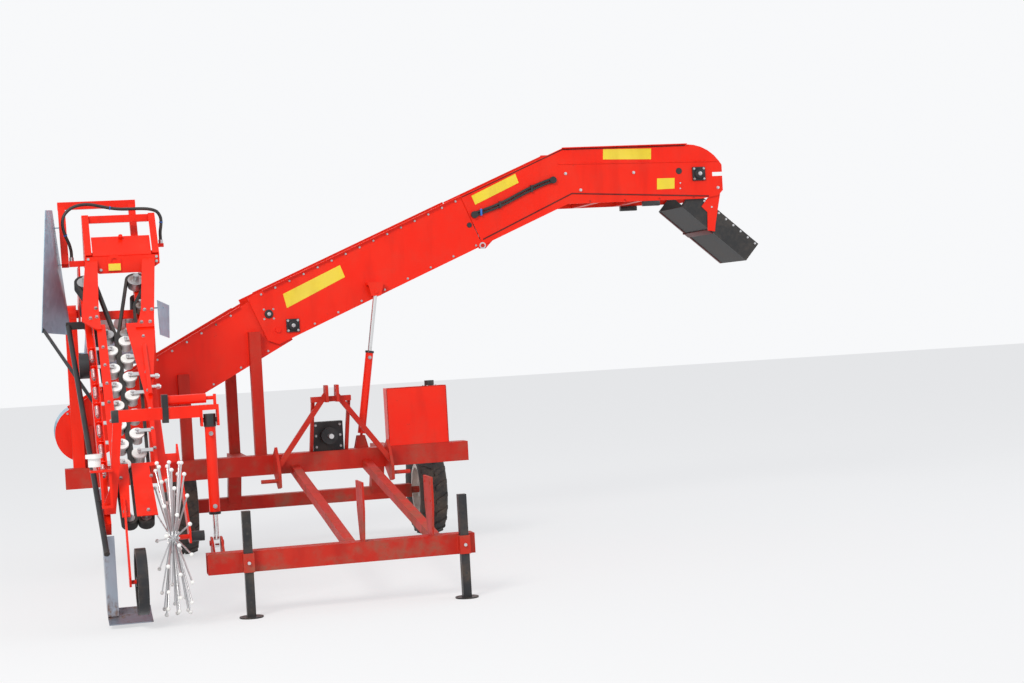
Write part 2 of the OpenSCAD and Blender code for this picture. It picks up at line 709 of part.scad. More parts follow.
// Outlines of the legs in the unit's x and s: left leg, right leg
leg_outlines = [[[-153, 2640], [-73, 2640], [-100, 2100], [-95, 1890], [-125, 1890], [-216, 1990]],
  [[220, 2640], [306, 2640], [245, 1990], [239, 1890], [120, 1890], [150, 1990], [168, 2080]]];
module head_bar() {
  block([head_x0, head_y, head_z - 60], [head_x1, head_y + head_t, head_z]);
}
module head_frame() placed() color(red) {
  top_y = head_y + front_run;
  top_z = head_z + front_rise;
  for (x = [head_x0, head_x1 - plate_t])
    yz(x, plate_t) polygon([[head_y, head_z - 60], [head_y, head_z + 10], [top_y, top_z + 20],
      [top_y + 60, top_z + 20], [top_y + 60, head_z - 60]]);
  head_bar();
  xz(head_y, 12) polygon([[head_x0 + 88, head_z - 115], [head_x1 - 88, head_z - 115], [head_x1,
    head_z - 60],
    [head_x0, head_z - 60]]);
  difference() {
    xz(head_y - 10, 10) union() {
      translate([eye_x, head_z - 34]) circle(r = 45);
      translate([eye_x - 45, head_z - 100]) square([90, 66]);
    }
    pin_y(eye_x, head_y - 20, head_z - 34, 20, 30);
  }
  block([head_x1, hose_end[1] - 18, hose_end[2] - 50], [hose_end[0] + 18, hose_end[1] + 18,
    hose_end[2] - 25]);
  color(steel) translate([hose_end[0], hose_end[1], hose_end[2] - 25]) cylinder(r = fitting_r, h = 25);
  for (x = [head_x0 + side_w / 2, head_x1 - side_w / 2])
    slanted(x, [head_y + 6, head_z + 12], [top_y, top_z + 24], side_w, 8);
  block([head_x0 + plate_t, top_y, top_z - 30], [head_x1 - plate_t, top_y + head_t, top_z + 20]);
  block([head_x0 + plate_t, top_y + 10, head_z - 40], [head_x1 - plate_t, top_y + 60, head_z + 40]);
  difference() {
    unit() translate([0, 0, rail_n]) linear_extrude(12)
      for (outline = leg_outlines) polygon(outline);
    block([head_x0 - 200, head_y, head_z - 300], [head_x1 + 200, head_y + 600, head_z + 600]);
  }
}

// Hoop at the back of the head
hoop_t = 52;
hoop_x0 = head_x0 - 150;
hoop_x1 = head_x1 - 110;
module head_hoop() placed() color(red) {
  block([hoop_x0, hoop_y, hoop_z - hoop_t / 2], [hoop_x1, hoop_y + hoop_t, hoop_z + hoop_t / 2]);
  difference() {
    for (x = [hoop_x0 + hoop_t / 2, hoop_x1 - hoop_t / 2])
      slanted(x, [hoop_y + hoop_t / 2, hoop_z - 10], [head_y + front_run + 20, head_z - 40], hoop_t - 4,
        hoop_t - 4);
    block([head_x0, head_y, head_z - 100], [head_x1, head_y + front_run + 60, head_z + front_rise + 100]);
  }
  block([hoop_x0 + hoop_t, head_y + front_run + 10, head_z - 50], [head_x0, head_y + front_run + 50,
    head_z - 10]);
  color(steel) translate([hose_low[0], hose_low[1], head_z - 10])
    cylinder(r = fitting_r, h = hose_low[2] - head_z + 10);
}

// Hose that arches free over the head between two upright fittings
hose_r = 11;
fitting_r = 15;
hose_route = [[-1740, -70, 2230], [-1740, -70, 2270], [-1750, -82, 2318], [-1768, -95, 2364], [-1783,
  -105, 2412],
  [-1788, -110, 2462], [-1776, -109, 2512], [-1744, -105, 2550], [-1700, -100, 2574], [-1650, -96, 2584],
  [-1600, -93, 2584], [-1550, -91, 2574], [-1500, -90, 2562], [-1450, -90, 2552], [-1400, -89, 2546],
  [-1350, -87, 2544], [-1300, -85, 2544], [-1250, -83, 2543], [-1200, -81, 2538], [-1152, -79, 2520],
  [-1128, -77, 2478], [-1128, -76, 2428], [-1136, -75, 2378], [-1136, -75, 2325]];
hose_low = hose_route[0];
hose_end = hose_route[len(hose_route) - 1];
module head_hose() placed() color(black) tube(hose_route, hose_r);

// Arms from the unit's beams back to the pivot pins
module pivot_arms() placed() color(red)
  for (x = [arm_left - arm_t, arm_right])
    difference() {
      yz(x, arm_t) polygon([up(2200, beam_n0), up(2200, beam_n1), up(beam_s1, beam_n1), [head_y + 20,
        head_z - 60],
        [head_y + front_run + 60, head_z - 60], [pivot_y + 70, pivot_z + 50], [pivot_y + 70, pivot_z - 60],
        [pivot_y - 60, pivot_z - 70], up(beam_s1, beam_n0)]);
      pin_x(x - 10, pivot_y, pivot_z, pivot_r + pin_gap, arm_t + 20);
    }

// Cover on the head's sloping front, hinged at its lower edge
cover_x0 = head_x0 + side_w + 6;
cover_x1 = head_x1 - side_w - 6;
cover_len = 175;
cover_y = head_y + 22;
cover_z = head_z + 6.3;
module head_cover() placed() color(red)
  translate([0, cover_y, cover_z]) rotate([head_tilt, 0, 0]) {
    block([cover_x0, 0, 2], [cover_x1, cover_len, 6]);
    pin_x(cover_x0, 0, 0, 6, cover_x1 - cover_x0);
    translate([(cover_x0 + cover_x1) / 2, cover_len - 25, 6]) cylinder(r = 14, h = 30);
  }

// Zinc sheets that lead the tops away
left_sheet = [[-1902, -340, 2540], [outer_x, -340, 1727], [-1770, 110, 1704], [-1850, 110, 2569]];
right_sheet = [[-1225, -650, 1900], [-1218, -650, 1672], [-1130, -250, 1646], [-1120, -250, 1868]];
brace_top = [-1955, -325, 1745];
brace_low = [-1675, -1210, 1250];
module deflectors() placed() {
  color(zinc) {
    flared(left_sheet);
    flared(right_sheet);
    block([-1864, -75, 2180], [hoop_x0 + 2, -35, 2186]);
    block([-1848, 60, 2440], [hoop_x0 + 2, 95, 2446]);
    block([arm_right + arm_t, -470, 1848], [-1168, -430, 1856]);
  }
  color(dark) difference() {
    bar(brace_top, brace_low, 14, $fn = 4);
    block([arm_left, -1300, 1150], [arm_left + 60, -1000, 1400]);
  }
}

// Round guide bar outside the unit, on a foot and a top bracket
guide_top = [-1800, -580, 1765];
guide_low = [-1700, -2330, 440];
drum_r = 80;
drum_w = 60;
module side_bars() placed() color(dark) {
  bar(guide_top, guide_low, 17);
  block(guide_top - [15, 20, 30], [arm_left, guide_top[1] + 20, guide_top[2] + 20]);
  block([guide_low[0] - 25, -1995, 688], [arm_left, -1976, 722]);
  unit() pin_x(-right_x - left_beam - drum_w, 1700, -60, drum_r, drum_w);
}

// Nose: plates over the bottom pulleys and the bracket of the depth wheel
module nose() placed() color(red) unit() {
  for (t = nose_rows)
    translate([0, 0, rail_n - plate_t]) linear_extrude(plate_t)
      polygon([[t[0], pulley_s - 30], [t[1], pulley_s - 30], [min(t[2], 96), rail_s0 - 30], [t[2],
        rail_s0 - 28],
        [t[2], rail_s0], [t[3], rail_s0]]);
}
// Left and right plate: x of the front's two corners, then of the back's two corners
nose_rows = [[-92, -45, -26, -92], [-8, 113, 150, -8]];

// Lifting share under the row, on a leg from the left beam
share_x = belt_x - right_x - left_beam - 12;
module share() placed() color(steel) {
  yz(share_x, 12) polygon([up(300, beam_n1), up(560, beam_n1), up(560, beam_n0), [-1990, 90], [-2120,
    40], [-2150, 60]]);
  yz(share_x, 250) polygon([[-2260, 28], [-2100, 62], [-2040, 92], [-2040, 80], [-2110, 44], [-2255, 22]]);
  yz(share_x, 62) polygon([[-2152, 60], [-2140, 56], [-2098, 500], [-2110, 520]]);
}

// Depth wheel left of the row, on an arm from the left beam
depth_r = 190;
depth_y = -2330;
depth_z = 270;
depth_x = -1545;
module gauge_wheel() placed() color(black) difference() {
  pin_x(depth_x, depth_y, depth_z, depth_r, 60);
  pin_x(depth_x - 5, depth_y, depth_z, 12 + pin_gap, 70);
  for (x = [depth_x - 5, depth_x + 40])
    difference() {
      pin_x(x, depth_y, depth_z, depth_r - 30, 25);
      pin_x(x - 5, depth_y, depth_z, 30, 35);
    }
}

// Finger wheel: hub and three rings of fingers with round knobs
hub_r = 45;
hub_bore = 14;
module finger_wheel() placed() translate([wheel_x, wheel_y, wheel_z]) {
  color(steel) difference() {
    pin_x(-28, 0, 0, hub_r, 56);
    pin_x(-30, 0, 0, hub_bore + pin_gap, 60);
  }
  for (ring = [-1, 0, 1], k = [0:finger_count - 1])
    rotate([360 / finger_count * (k + ring / 3), 0, 0]) {
      tip = [ring * finger_lean, 0, finger_reach];
      color(steel) bar([ring * 16, 0, hub_r - 8], tip, finger_r);
      color(white) translate(tip) sphere(r = knob_r);
    }
}

// Arms of the finger wheel and of the depth wheel
carry_x = wheel_x + finger_lean + knob_r + 12;
module wheel_arm() placed() color(red) {
  yz(carry_x, 12) polygon([up(740, beam_n1), up(900, beam_n1), up(900, beam_n0),
    [wheel_y + 40, wheel_z - 35], [wheel_y - 40, wheel_z - 35], [wheel_y - 40, wheel_z + 35]]);
  unit() block([right_x + right_beam, 760, -110], [carry_x - belt_x + 6, 840, -60]);
  color(steel) pin_x(wheel_x - 26, wheel_y, wheel_z, hub_bore, carry_x - wheel_x + 32);
  color(dark) pin_x(carry_x + 9, wheel_y, wheel_z, 30, 80);
  yz(depth_x - 40, 12) polygon([up(pulley_s - 31, rail_n - 10), up(pulley_s - 31, rail_n), up(345, rail_n),
    up(330, rail_n + 30), up(240, rail_n + 40), [depth_y - 42, depth_z + 30], [depth_y - 25, depth_z - 25],
    [depth_y + 25, depth_z - 25]]);
  color(steel) pin_x(depth_x - 34, depth_y, depth_z, 12, 104);
}

// Front arm over the belts: the leg's tube, the pivot block, and the tube to the lift cylinder
arm_z = 1205;
arm_x0 = -1612;
block_x0 = -1325;
block_x1 = -1290;
ear_x = 48;
swing_z = 1280;
swing_len = 225;
leg_low = [[-1604, 790], [-1625, 640], [-1690, 640], [-1690, 700], [-1648, 790]];
hook = [-1704, -2116, 681];
hook_t = 14;
module front_arm() placed() color(red) {
  block([arm_x0, lift_y - 35, arm_z - 35], [block_x0, lift_y + 35, arm_z + 35]);
  color(black) block([arm_x0 - 6, lift_y - 35, arm_z - 35], [arm_x0, lift_y + 35, arm_z + 35]);
  color(dark) block([block_x0, lift_y - 42, arm_z - 55], [block_x1, lift_y + 42, swing_z + 35]);
  block([block_x1, lift_y - 35, arm_z - 35], [lift_x - 54, lift_y + 35, arm_z + 35]);
  pin_x(block_x1, lift_y, swing_z, 28, swing_len);
  color(steel) pin_x(block_x1 + swing_len, lift_y, swing_z, 11, 43);
  block([block_x1 + swing_len + 43, lift_y - 14, arm_z + 35],
    [block_x1 + swing_len + 59, lift_y + 14, swing_z + 22]);
  difference() {
    xz(lift_y - 35, 70) polygon(concat([[arm_x0, arm_z - 35], [arm_x0 + 52, arm_z - 35]], leg_low));
    unit() block([-400, 0, -300], [0, 1200, beam_n1]);
  }
  block([loop_at[0] - 28, loop_at[1] - 45, loop_at[2] - 12], [arm_x0 - 21, lift_y - 25, loop_at[2]]);
  block(hook, hook + [64, hook_t, 16]);
  for (x = [0, 50])
    block(hook + [x, 0, 16], [hook[0] + x + hook_t, hook[1] + hook_t, loop_at[2] - 12]);
  for (s = [-1, 1])
    difference() {
      yz(lift_x + s * ear_x - 6, 12) polygon([[lift_y - 40, lift_top - 35], [lift_y + 40, lift_top - 35],
        [lift_y + 40, arm_z + 35], [lift_y - 40, arm_z + 35]]);
      pin_x(lift_x - 80, lift_y, lift_top, 14 + pin_gap, 160);
    }
  block([lift_x - 54, lift_y - 40, arm_z + 5], [lift_x + 54, lift_y + 40, arm_z + 35]);
}

// Lift cylinder: barrel hung from the front arm, rod down to the belly beam
barrel_low = 600;
module lift_barrel() placed() {
  color(red) difference() {
    translate([lift_x, lift_y, barrel_low]) cylinder(r = lift_r, h = lift_top - barrel_low - 40);
    translate([lift_x, lift_y, barrel_low - 10]) cylinder(r = 16 + pin_gap, h = lift_top - barrel_low - 90);
  }
  color(black) translate([lift_x, lift_y, lift_top - 40]) cylinder(r = 36, h = 76);
  color(steel) pin_x(lift_x - 56, lift_y, lift_top, 14, 112);
}
module lift_rod() placed() color(steel) {
  translate([lift_x, lift_y, lift_eye + 20]) cylinder(r = 16, h = lift_top - lift_eye - 140);
  pin_x(lift_x - 13, lift_y, lift_eye, 28, 26);
}

// Topping discs on a cross plate under the unit's beams
topper_s = 2290;
topper_x = 100;
topper_h = 80;
module topper(side) color(steel) unit() translate([side * topper_x, topper_s, beam_n0 - 10 - topper_h]) {
  cylinder(r = 96, h = 5);
  cylinder(r = 20, h = topper_h);
}
module topper_right() placed() topper(1);
module topper_left() placed() topper(-1);

// Axes of the sloping boom: x along its lower edge from below the foot pivot
boom_z = fold_z - (fold_x - foot_x) * tan(boom_tilt);
lower_len = (fold_x - foot_x) / cos(boom_tilt);
module on_boom() {
  translate([foot_x, 0, boom_z]) rotate([0, -boom_tilt, 0]) children();
}
lower_path = [[150, 80, web_r], [lower_len - 90, 190, web_r]];
module boom_lower() placed() {
  color(red) for (s = [0, 1]) {
    y = s == 0 ? side_y : side_y + conv_w - side_t;
    fy = s == 0 ? y - flange_w + side_t : y;
    difference() {
      on_boom() xz(y, side_t) polygon([[-60, 60], [0, 0], [lower_len, 0], [lower_len, side_d], [-60,
        side_d]]);
      pin_y(foot_x, y - 5, foot_z, 20 + pin_gap, side_t + 10);
    }
    on_boom() block([60, fy, side_d], [lower_len, fy + flange_w, side_d + side_t]);
  }
  color(red) on_boom() for (x = [450, lower_len - 260])
    block([x, side_y + side_t, 0], [x + 50, side_y + conv_w - side_t, 25]);
  color(red) {
    for (y = [ram_y - 30, ram_y + 22])
      xz(y, 8) translate([ram_ex, ram_ez]) polygon([[-35, -30], [35, -30], [60, 70], [-60, 70]]);
    block([ram_ex - 60, ram_y - 30, ram_ez + 50], [ram_ex + 60, side_y, ram_ez + 70]);
  }
  color(steel) for (y = [ram_y - 36, ram_y + 30])
    pin_y(ram_ex, y, ram_ez, 14, 6);
  color(steel) for (y = [side_y - 12, side_y + conv_w - side_t - 10])
    pin_y(fold_x, y, fold_z, fold_r, 12 + side_t + 10);
}
module boom_web() placed() on_boom() {
  web(lower_path);
  web_rollers(lower_path, side_y + side_t, side_y + conv_w - side_t);
}

// Boom cylinder between the main beam and the boom
ram_x = 250;
ram_z = beam_top + 60;
ram_y = side_y - 50;
ram_ex = 420;
ram_ez = 1900;
ram_len = norm([ram_ex - ram_x, ram_ez - ram_z]);
ram_turn = atan2(ram_ex - ram_x, ram_ez - ram_z);
ram_body = 640;
module on_ram() {
  translate([ram_x, ram_y, ram_z]) rotate([0, ram_turn, 0]) children();
}
ram_pin = 12;
module boom_barrel() placed() color(red) difference() {
  union() {
    on_ram() translate([0, 0, 20]) cylinder(r = 10, h = 40);
    on_ram() translate([0, 0, 45]) cylinder(r = 28, h = ram_body - 45);
    pin_y(ram_x, ram_y - 12, ram_z, 26, 24);
  }
  pin_y(ram_x, ram_y - 20, ram_z, ram_pin + pin_gap, 40);
  on_ram() translate([0, 0, 180]) cylinder(r = 15 + pin_gap, h = ram_body);
}
module boom_rod() placed() color(steel) {
  on_ram() translate([0, 0, 300]) cylinder(r = 15, h = ram_len - 320);
  pin_y(ram_ex, ram_y - 12, ram_ez, 26, 24);
}

// Tip of the boom: sides with the kink and the rounded nose
tip_bottom = boom_top - tip_d;
tip_gap = 6;
fold_r = 14;
flap_r = 10;
low_kink = fold_x + (tip_bottom - fold_z) / tan(boom_tilt);
joint_x = fold_x - side_d * sin(boom_tilt);
joint_z = fold_z + side_d * cos(boom_tilt);
nose_r = 318;
tip_path = [[fold_x + 90, fold_z + 120, web_r], [low_kink + 30, tip_bottom + 60, -50],
  [nose_x - 190, boom_top - 235, web_r], [kink_x - 20, boom_top - 235, web_r]];
module boom_tip() placed() color(red) {
  for (s = [0, 1]) {
    y = s == 0 ? side_y : side_y + conv_w - side_t;
    difference() {
      xz(y, side_t) difference() {
        polygon(concat([[fold_x + tip_gap, fold_z + 3], [joint_x + tip_gap, joint_z + 3], [kink_x,
          boom_top]],
          [for (a = [90:-11:35]) [nose_x - 280 + nose_r * cos(a), boom_top - nose_r + nose_r * sin(a)]],
          [[nose_x, boom_top - 165], [nose_x, tip_bottom + 60],
            [nose_x - 40, tip_bottom + 20], [nose_x - 180, tip_bottom], [low_kink, tip_bottom]]));
        translate([nose_x - 80, boom_top - 250]) square([100, 30]);
      }
      pin_y(fold_x, y - 20, fold_z, fold_r + 1, 60);
    }
    ey = s == 0 ? y + side_t : y - 9;
    difference() {
      union() {
        xz(ey, 9) polygon([[fold_x + tip_gap, fold_z + 8], [fold_x + 90, fold_z + 44], [fold_x + 60,
          fold_z + 120],
          [fold_x + tip_gap, fold_z + 90]]);
        xz(s == 0 ? ey + 1 : ey, 8) polygon([[fold_x - 28, fold_z - 22], [fold_x + 24, fold_z - 22],
          [fold_x + 90, fold_z + 44],
          [fold_x + 60, fold_z + 120], [fold_x - 28, fold_z + 24]]);
      }
      pin_y(fold_x, ey - 20, fold_z, fold_r + pin_gap, 60);
    }
    fy = s == 0 ? y - flange_w + side_t : y;
    block([kink_x, fy, boom_top], [nose_x - 280, fy + flange_w, boom_top + side_t]);
  }
  color(steel) for (y = [side_y + side_t, side_y + conv_w - side_t - swing_gap - plate_t - 4])
    pin_y(hinge_x, y, hinge_z, flap_r, swing_gap + plate_t + 4);
  for (x = [low_kink + 200, nose_x - 700])
    block([x, side_y + side_t, tip_bottom], [x + 50, side_y + conv_w - side_t, tip_bottom + 25]);
}

// Two hoses clipped along the tip's near side, with a grommet at each end
tip_hose_r = 9;
tip_hose_y = side_y - tip_hose_r - 3;
tip_route = [[1205, 2434], [1255, 2450], [1305, 2466], [1355, 2482], [1404, 2500], [1454, 2520], [1504,
  2543],
  [1554, 2567], [1604, 2590], [1654, 2611], [1704, 2631], [1754, 2649], [1804, 2664], [1825, 2669]];
module tip_hoses() placed() color(black) {
  for (n = [-1, 1])
    tube([for (p = tip_route) [p[0] - n * 4.5, tip_hose_y, p[1] + n * 10]], tip_hose_r);
  for (p = [tip_route[0], tip_route[len(tip_route) - 1]])
    pin_y(p[0], tip_hose_y - tip_hose_r - 2, p[1], 26, side_y - tip_hose_y + tip_hose_r + 2);
  for (p = [tip_route[4], tip_route[9]])
    block([p[0] - 8, tip_hose_y - tip_hose_r - 2, p[1] - 26], [p[0] + 8, side_y, p[1] + 26]);
}

module tip_web() placed() {
  web(tip_path);
  web_rollers(tip_path, side_y + side_t, side_y + conv_w - side_t);
}

// Discharge chute: hanger plates under the nose with the trough between them
hang_y0 = side_y + side_t + swing_gap;
hang_y1 = side_y + conv_w - side_t - swing_gap;
module chute() placed() {
  color(red) difference() {
    for (y = [hang_y0, hang_y1 - plate_t])
      xz(y, plate_t) translate([hinge_x, hinge_z]) polygon([[-24, 20], [22, 20], [20, -50], [-30,
        -chute_drop + 10],
        [-38, -chute_drop - 45], [-96, -chute_drop - 35], [-90, -chute_drop + 105], [-136,
        -chute_drop + 150], [-50, -36]]);
    pin_y(hinge_x, side_y, hinge_z, flap_r + pin_gap, conv_w);
  }
  color(black) translate([hinge_x, 0, hinge_z]) rotate([0, chute_tilt, 0]) translate([0, 0,
    -chute_drop + chute_d / 2]) {
    for (y = [hang_y0 + plate_t, hang_y1 - plate_t - 4])
      block([-chute_back + 60, y, -chute_d / 2], [chute_len - chute_back, y + 4, chute_d / 2]);
    block([-chute_back + 60, hang_y0 + plate_t, -chute_d / 2 - 4], [chute_len - chute_back,
      hang_y1 - plate_t, -chute_d / 2]);
  }
}

main_frame();
headstock();
axle_beam();
conveyor_posts();
picker_mast();
push_tubes();
belly_beam();
cross_trough();
cross_web();
transfer_chute();
gearbox();
oil_tank();
pto_stub();
tyre_right();
rim_right();
tyre_left();
rim_left();
stand_right();
stand_left();
rail_left();
rail_right();
belt_rollers();
picking_belts();
belt_pulleys();
tension_rods();
head_frame();
head_hoop();
head_hose();
pivot_arms();
head_cover();
deflectors();
side_bars();
nose();
share();
gauge_wheel();
finger_wheel();
wheel_arm();
front_arm();
lift_barrel();
lift_rod();
topper_right();
topper_left();
boom_lower();
boom_web();
boom_barrel();
boom_rod();
boom_tip();
tip_hoses();
tip_web();
chute();
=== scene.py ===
# %% [markdown]
# # A root harvester, dressed
# The solids of this machine come from its CAD model: beams, troughs, webs, belts and wheels, each in
# place and each riding on the body that carries it. This lesson adds what a workshop adds last: paint
# and its wear, rubber, zinc, bolts, plates and springs. We load the solids first and never move them.

# %% Load the solids
import math
import bmesh
import bpy
from mathutils import Matrix, Vector


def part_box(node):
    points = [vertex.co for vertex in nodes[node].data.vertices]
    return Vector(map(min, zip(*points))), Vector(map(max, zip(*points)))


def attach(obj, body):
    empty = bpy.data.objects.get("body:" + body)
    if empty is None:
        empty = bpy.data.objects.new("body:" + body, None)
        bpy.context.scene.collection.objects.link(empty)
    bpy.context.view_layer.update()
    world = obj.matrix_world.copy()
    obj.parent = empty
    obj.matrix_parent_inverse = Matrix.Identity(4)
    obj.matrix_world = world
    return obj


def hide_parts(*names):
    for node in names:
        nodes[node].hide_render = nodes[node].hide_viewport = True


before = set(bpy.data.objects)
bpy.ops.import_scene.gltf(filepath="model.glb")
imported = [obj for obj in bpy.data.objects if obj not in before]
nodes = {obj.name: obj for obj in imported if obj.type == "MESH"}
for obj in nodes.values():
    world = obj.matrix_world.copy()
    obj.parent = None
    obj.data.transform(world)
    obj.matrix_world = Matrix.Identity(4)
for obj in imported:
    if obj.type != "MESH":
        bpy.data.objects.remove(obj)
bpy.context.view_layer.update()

# %% [markdown]
# The drawings measure in millimetres, from the ground under the lower link pins. Blender works in
# metres from the middle of the machine's box. One small function turns the first into the second, so
# every number below can be read off the machine with a tape. The picking unit slopes, so it has
# measures of its own: across it, up its slope, and square to it.

# %% Places on the machine
MID_X, MID_Y = 742.35, -522.5
UNIT_X, UNIT_Y, UNIT_Z = -1505, -2300, 450
TILT = math.radians(40)
X, Y, Z = Vector((1, 0, 0)), Vector((0, 1, 0)), Vector((0, 0, 1))
UP_SLOPE = Vector((0, math.cos(TILT), math.sin(TILT)))
OFF_SLOPE = Vector((0, -math.sin(TILT), math.cos(TILT)))


def at(x, y, z):
    return Vector(((x - MID_X) / 1000, (y - MID_Y) / 1000, z / 1000))


def on_unit(x, s, n):
    """A place on the sloping picking unit: x across it, s up the slope, n square to it."""
    return at(UNIT_X + x, UNIT_Y + s * math.cos(TILT) - n * math.sin(TILT),
              UNIT_Z + s * math.sin(TILT) + n * math.cos(TILT))


def on_slope(foot_x, foot_z, degrees, drop=0):
    """Gives a function for places on a sloping side: x along it from its foot, z square to it."""
    a = math.radians(degrees)

    def place(x, z, y):
        return at(foot_x + x * math.cos(a) - (z - drop) * math.sin(a), y,
                  foot_z + x * math.sin(a) + (z - drop) * math.cos(a))
    return place


# %% [markdown]
# The camera comes early, because every later choice is judged through it. It stands in front of the
# machine, a little to its right, at eye height, and it is rolled by three degrees. A long lens, 67 mm
# on a 36 mm sensor, gives a flat, far-off look.

# %% Camera
LENS, SENSOR = 66.8, 36
CAMERA_PLACE = (-2090, -13350, 1650)
YAW, PITCH, ROLL = math.radians(14.4), math.radians(-0.7), math.radians(3.2)

scene = bpy.context.scene
camera_data = bpy.data.cameras.new("camera")
camera_data.lens, camera_data.sensor_width = LENS, SENSOR
camera = bpy.data.objects.new("camera", camera_data)
scene.collection.objects.link(camera)
scene.camera = camera
ahead = Vector((math.sin(YAW) * math.cos(PITCH), math.cos(YAW) * math.cos(PITCH), math.sin(PITCH)))
level_right = Vector((math.cos(YAW), -math.sin(YAW), 0))
level_down = ahead.cross(level_right)
right = math.cos(ROLL) * level_right + math.sin(ROLL) * level_down
up = math.sin(ROLL) * level_right - math.cos(ROLL) * level_down
turn = Matrix((right, up, -ahead)).transposed().to_4x4()
camera.matrix_world = Matrix.Translation(at(*CAMERA_PLACE)) @ turn
print("camera at", [round(c, 2) for c in camera.location])

# %% [markdown]
# Node graphs are easier to read as sums. The first class below wraps a socket, so that a + b, 1 - a
# and a * 0.3 add their Math nodes by themselves. The second holds a node tree, and one method of it
# adds every other kind of node.

# %% Shader sums
class Value:
    """A socket that can be used in Python sums."""

    def __init__(self, graph, socket):
        self.graph, self.socket = graph, socket

    def sum_of(self, operation, *terms):
        return self.graph.node("ShaderNodeMath", {"operation": operation}, dict(enumerate(terms)))

    def __add__(self, other):
        return self.sum_of("ADD", self, other)

    def __sub__(self, other):
        return self.sum_of("SUBTRACT", self, other)

    def __rsub__(self, other):
        return self.sum_of("SUBTRACT", other, self)

    def __mul__(self, other):
        return self.sum_of("MULTIPLY", self, other)

    __radd__, __rmul__ = __add__, __mul__

    def ramp(self, low, high):
        """0 below low, 1 above high, smooth between them; turned round where low is the larger."""
        return self.graph.node("ShaderNodeMapRange", {"interpolation_type": "SMOOTHSTEP"},
                               {"Value": self, "From Min": low, "From Max": high})


class Graph:
    """A node tree, of the world or of a material."""

    def __init__(self, tree):
        self.tree = tree

    def feed(self, socket, value):
        if isinstance(value, Value):
            self.tree.links.new(value.socket, socket)
        else:
            socket.default_value = value

    def node(self, kind, settings=None, values=None, out=0):
        """Adds a node, sets it up, feeds its inputs and gives one of its outputs."""
        made = self.tree.nodes.new(kind)
        for key, setting in (settings or {}).items():
            setattr(made, key, setting)
        for key, value in (values or {}).items():
            self.feed(made.inputs[key], value)
        return Value(self, made.outputs[out])

    def mix(self, share, first, second):
        def colour(c):
            return c if isinstance(c, Value) else (*c, 1)
        return self.node("ShaderNodeMix", {"data_type": "RGBA"},
                         {"Factor": share, 6: colour(first), 7: colour(second)}, 2)

    def seen(self):
        """1 for rays that the camera, a gloss or a clear sheet sends out, and 0 for those that only light."""
        share = self.node("ShaderNodeLightPath", out="Is Camera Ray")
        for kind in ("Is Glossy Ray", "Is Transmission Ray"):
            share = share.sum_of("MAXIMUM", share, self.node("ShaderNodeLightPath", out=kind))
        return share


# %% [markdown]
# Even light tells the truth about paint. The world fills every side, and it looks whiter than the
# light that it gives, so the machine stands before a clean background without being washed out.

# %% The world's light
WORLD_STRENGTH = 0.7
WORLD_LIGHT, WORLD_LOOK = (0.93, 0.95, 1.0), (1.34, 1.35, 1.37)

scene.view_settings.view_transform = "Standard"
world = bpy.data.worlds.new("studio")
scene.world = world
world.use_nodes = True
studio = Graph(world.node_tree)
background = studio.tree.nodes["Background"].inputs
studio.feed(background["Strength"], WORLD_STRENGTH)
studio.feed(background["Color"], studio.mix(studio.seen(), WORLD_LIGHT, WORLD_LOOK))

# %% [markdown]
# One broad soft lamp from the front left draws the edges. A second one, weaker and cooler, opens the
# shadows on the other side.

# %% Lamps
LIT_PLACE = Vector((0, 0, 1.3))
# name: place, width in metres, power in watts, tint
LAMPS = {"key": ((-7, -9, 9), 4, 900, (1, 0.97, 0.92)),
         "fill": ((9, -4, 6), 6, 220, (0.92, 0.96, 1))}

for name, (place, width, power, tint) in LAMPS.items():
    lamp_data = bpy.data.lights.new(name, "AREA")
    lamp_data.size, lamp_data.energy, lamp_data.color = width, power, tint
    lamp = bpy.data.objects.new(name, lamp_data)
    scene.collection.objects.link(lamp)
    lamp.location = place
    lamp.rotation_mode = "QUATERNION"
    lamp.rotation_quaternion = (LIT_PLACE - Vector(place)).to_track_quat("-Z", "Y")
print("lamps:", len(LAMPS))

# %% [markdown]
# A finish is a material with a few patterns of its own. All of them read Object coordinates, in
# metres, so a pattern keeps its scale on a long boom and on a small cap.

# %% Finishes and their patterns
class Finish(Graph):
    """One material. Constants name sockets of its shader, with _ for each space."""

    def __init__(self, name, **constants):
        self.material = bpy.data.materials.new(name)
        self.material.use_nodes = True
        super().__init__(self.material.node_tree)
        self.shader = self.tree.nodes["Principled BSDF"]
        self.place = self.node("ShaderNodeTexCoord", out="Object")
        for socket, number in constants.items():
            self.link(socket.replace("_", " "), number)

    def link(self, socket, value):
        self.feed(self.shader.inputs[socket], value)

    def noise(self, scale, detail=3, rough=0.5, stretch=None):
        where = self.place
        if stretch:
            where = self.node("ShaderNodeVectorMath", {"operation": "MULTIPLY"}, {0: where, 1: stretch})
        return self.node("ShaderNodeTexNoise", None,
                         {"Vector": where, "Scale": scale, "Detail": detail, "Roughness": rough}, "Fac")

    def bump(self, height, depth, strength):
        self.link("Normal", self.node("ShaderNodeBump", None,
                                      {"Height": height, "Distance": depth, "Strength": strength}, "Normal"))


# %% [markdown]
# Farm paint is never one red. Sun pales it in broad clouds, soil dust gathers low down, and stones
# chip it to dark primer. Each layer is a mask from 0 to 1, and the masks drive colour and gloss
# together, because a chip is both darker and rougher than the paint round it.

# %% Painted steel
SOIL, PRIMER = (0.19, 0.13, 0.085), (0.07, 0.035, 0.025)
DUSTY_UP_TO, FULL_DUST_AT = 1.1, 0.1


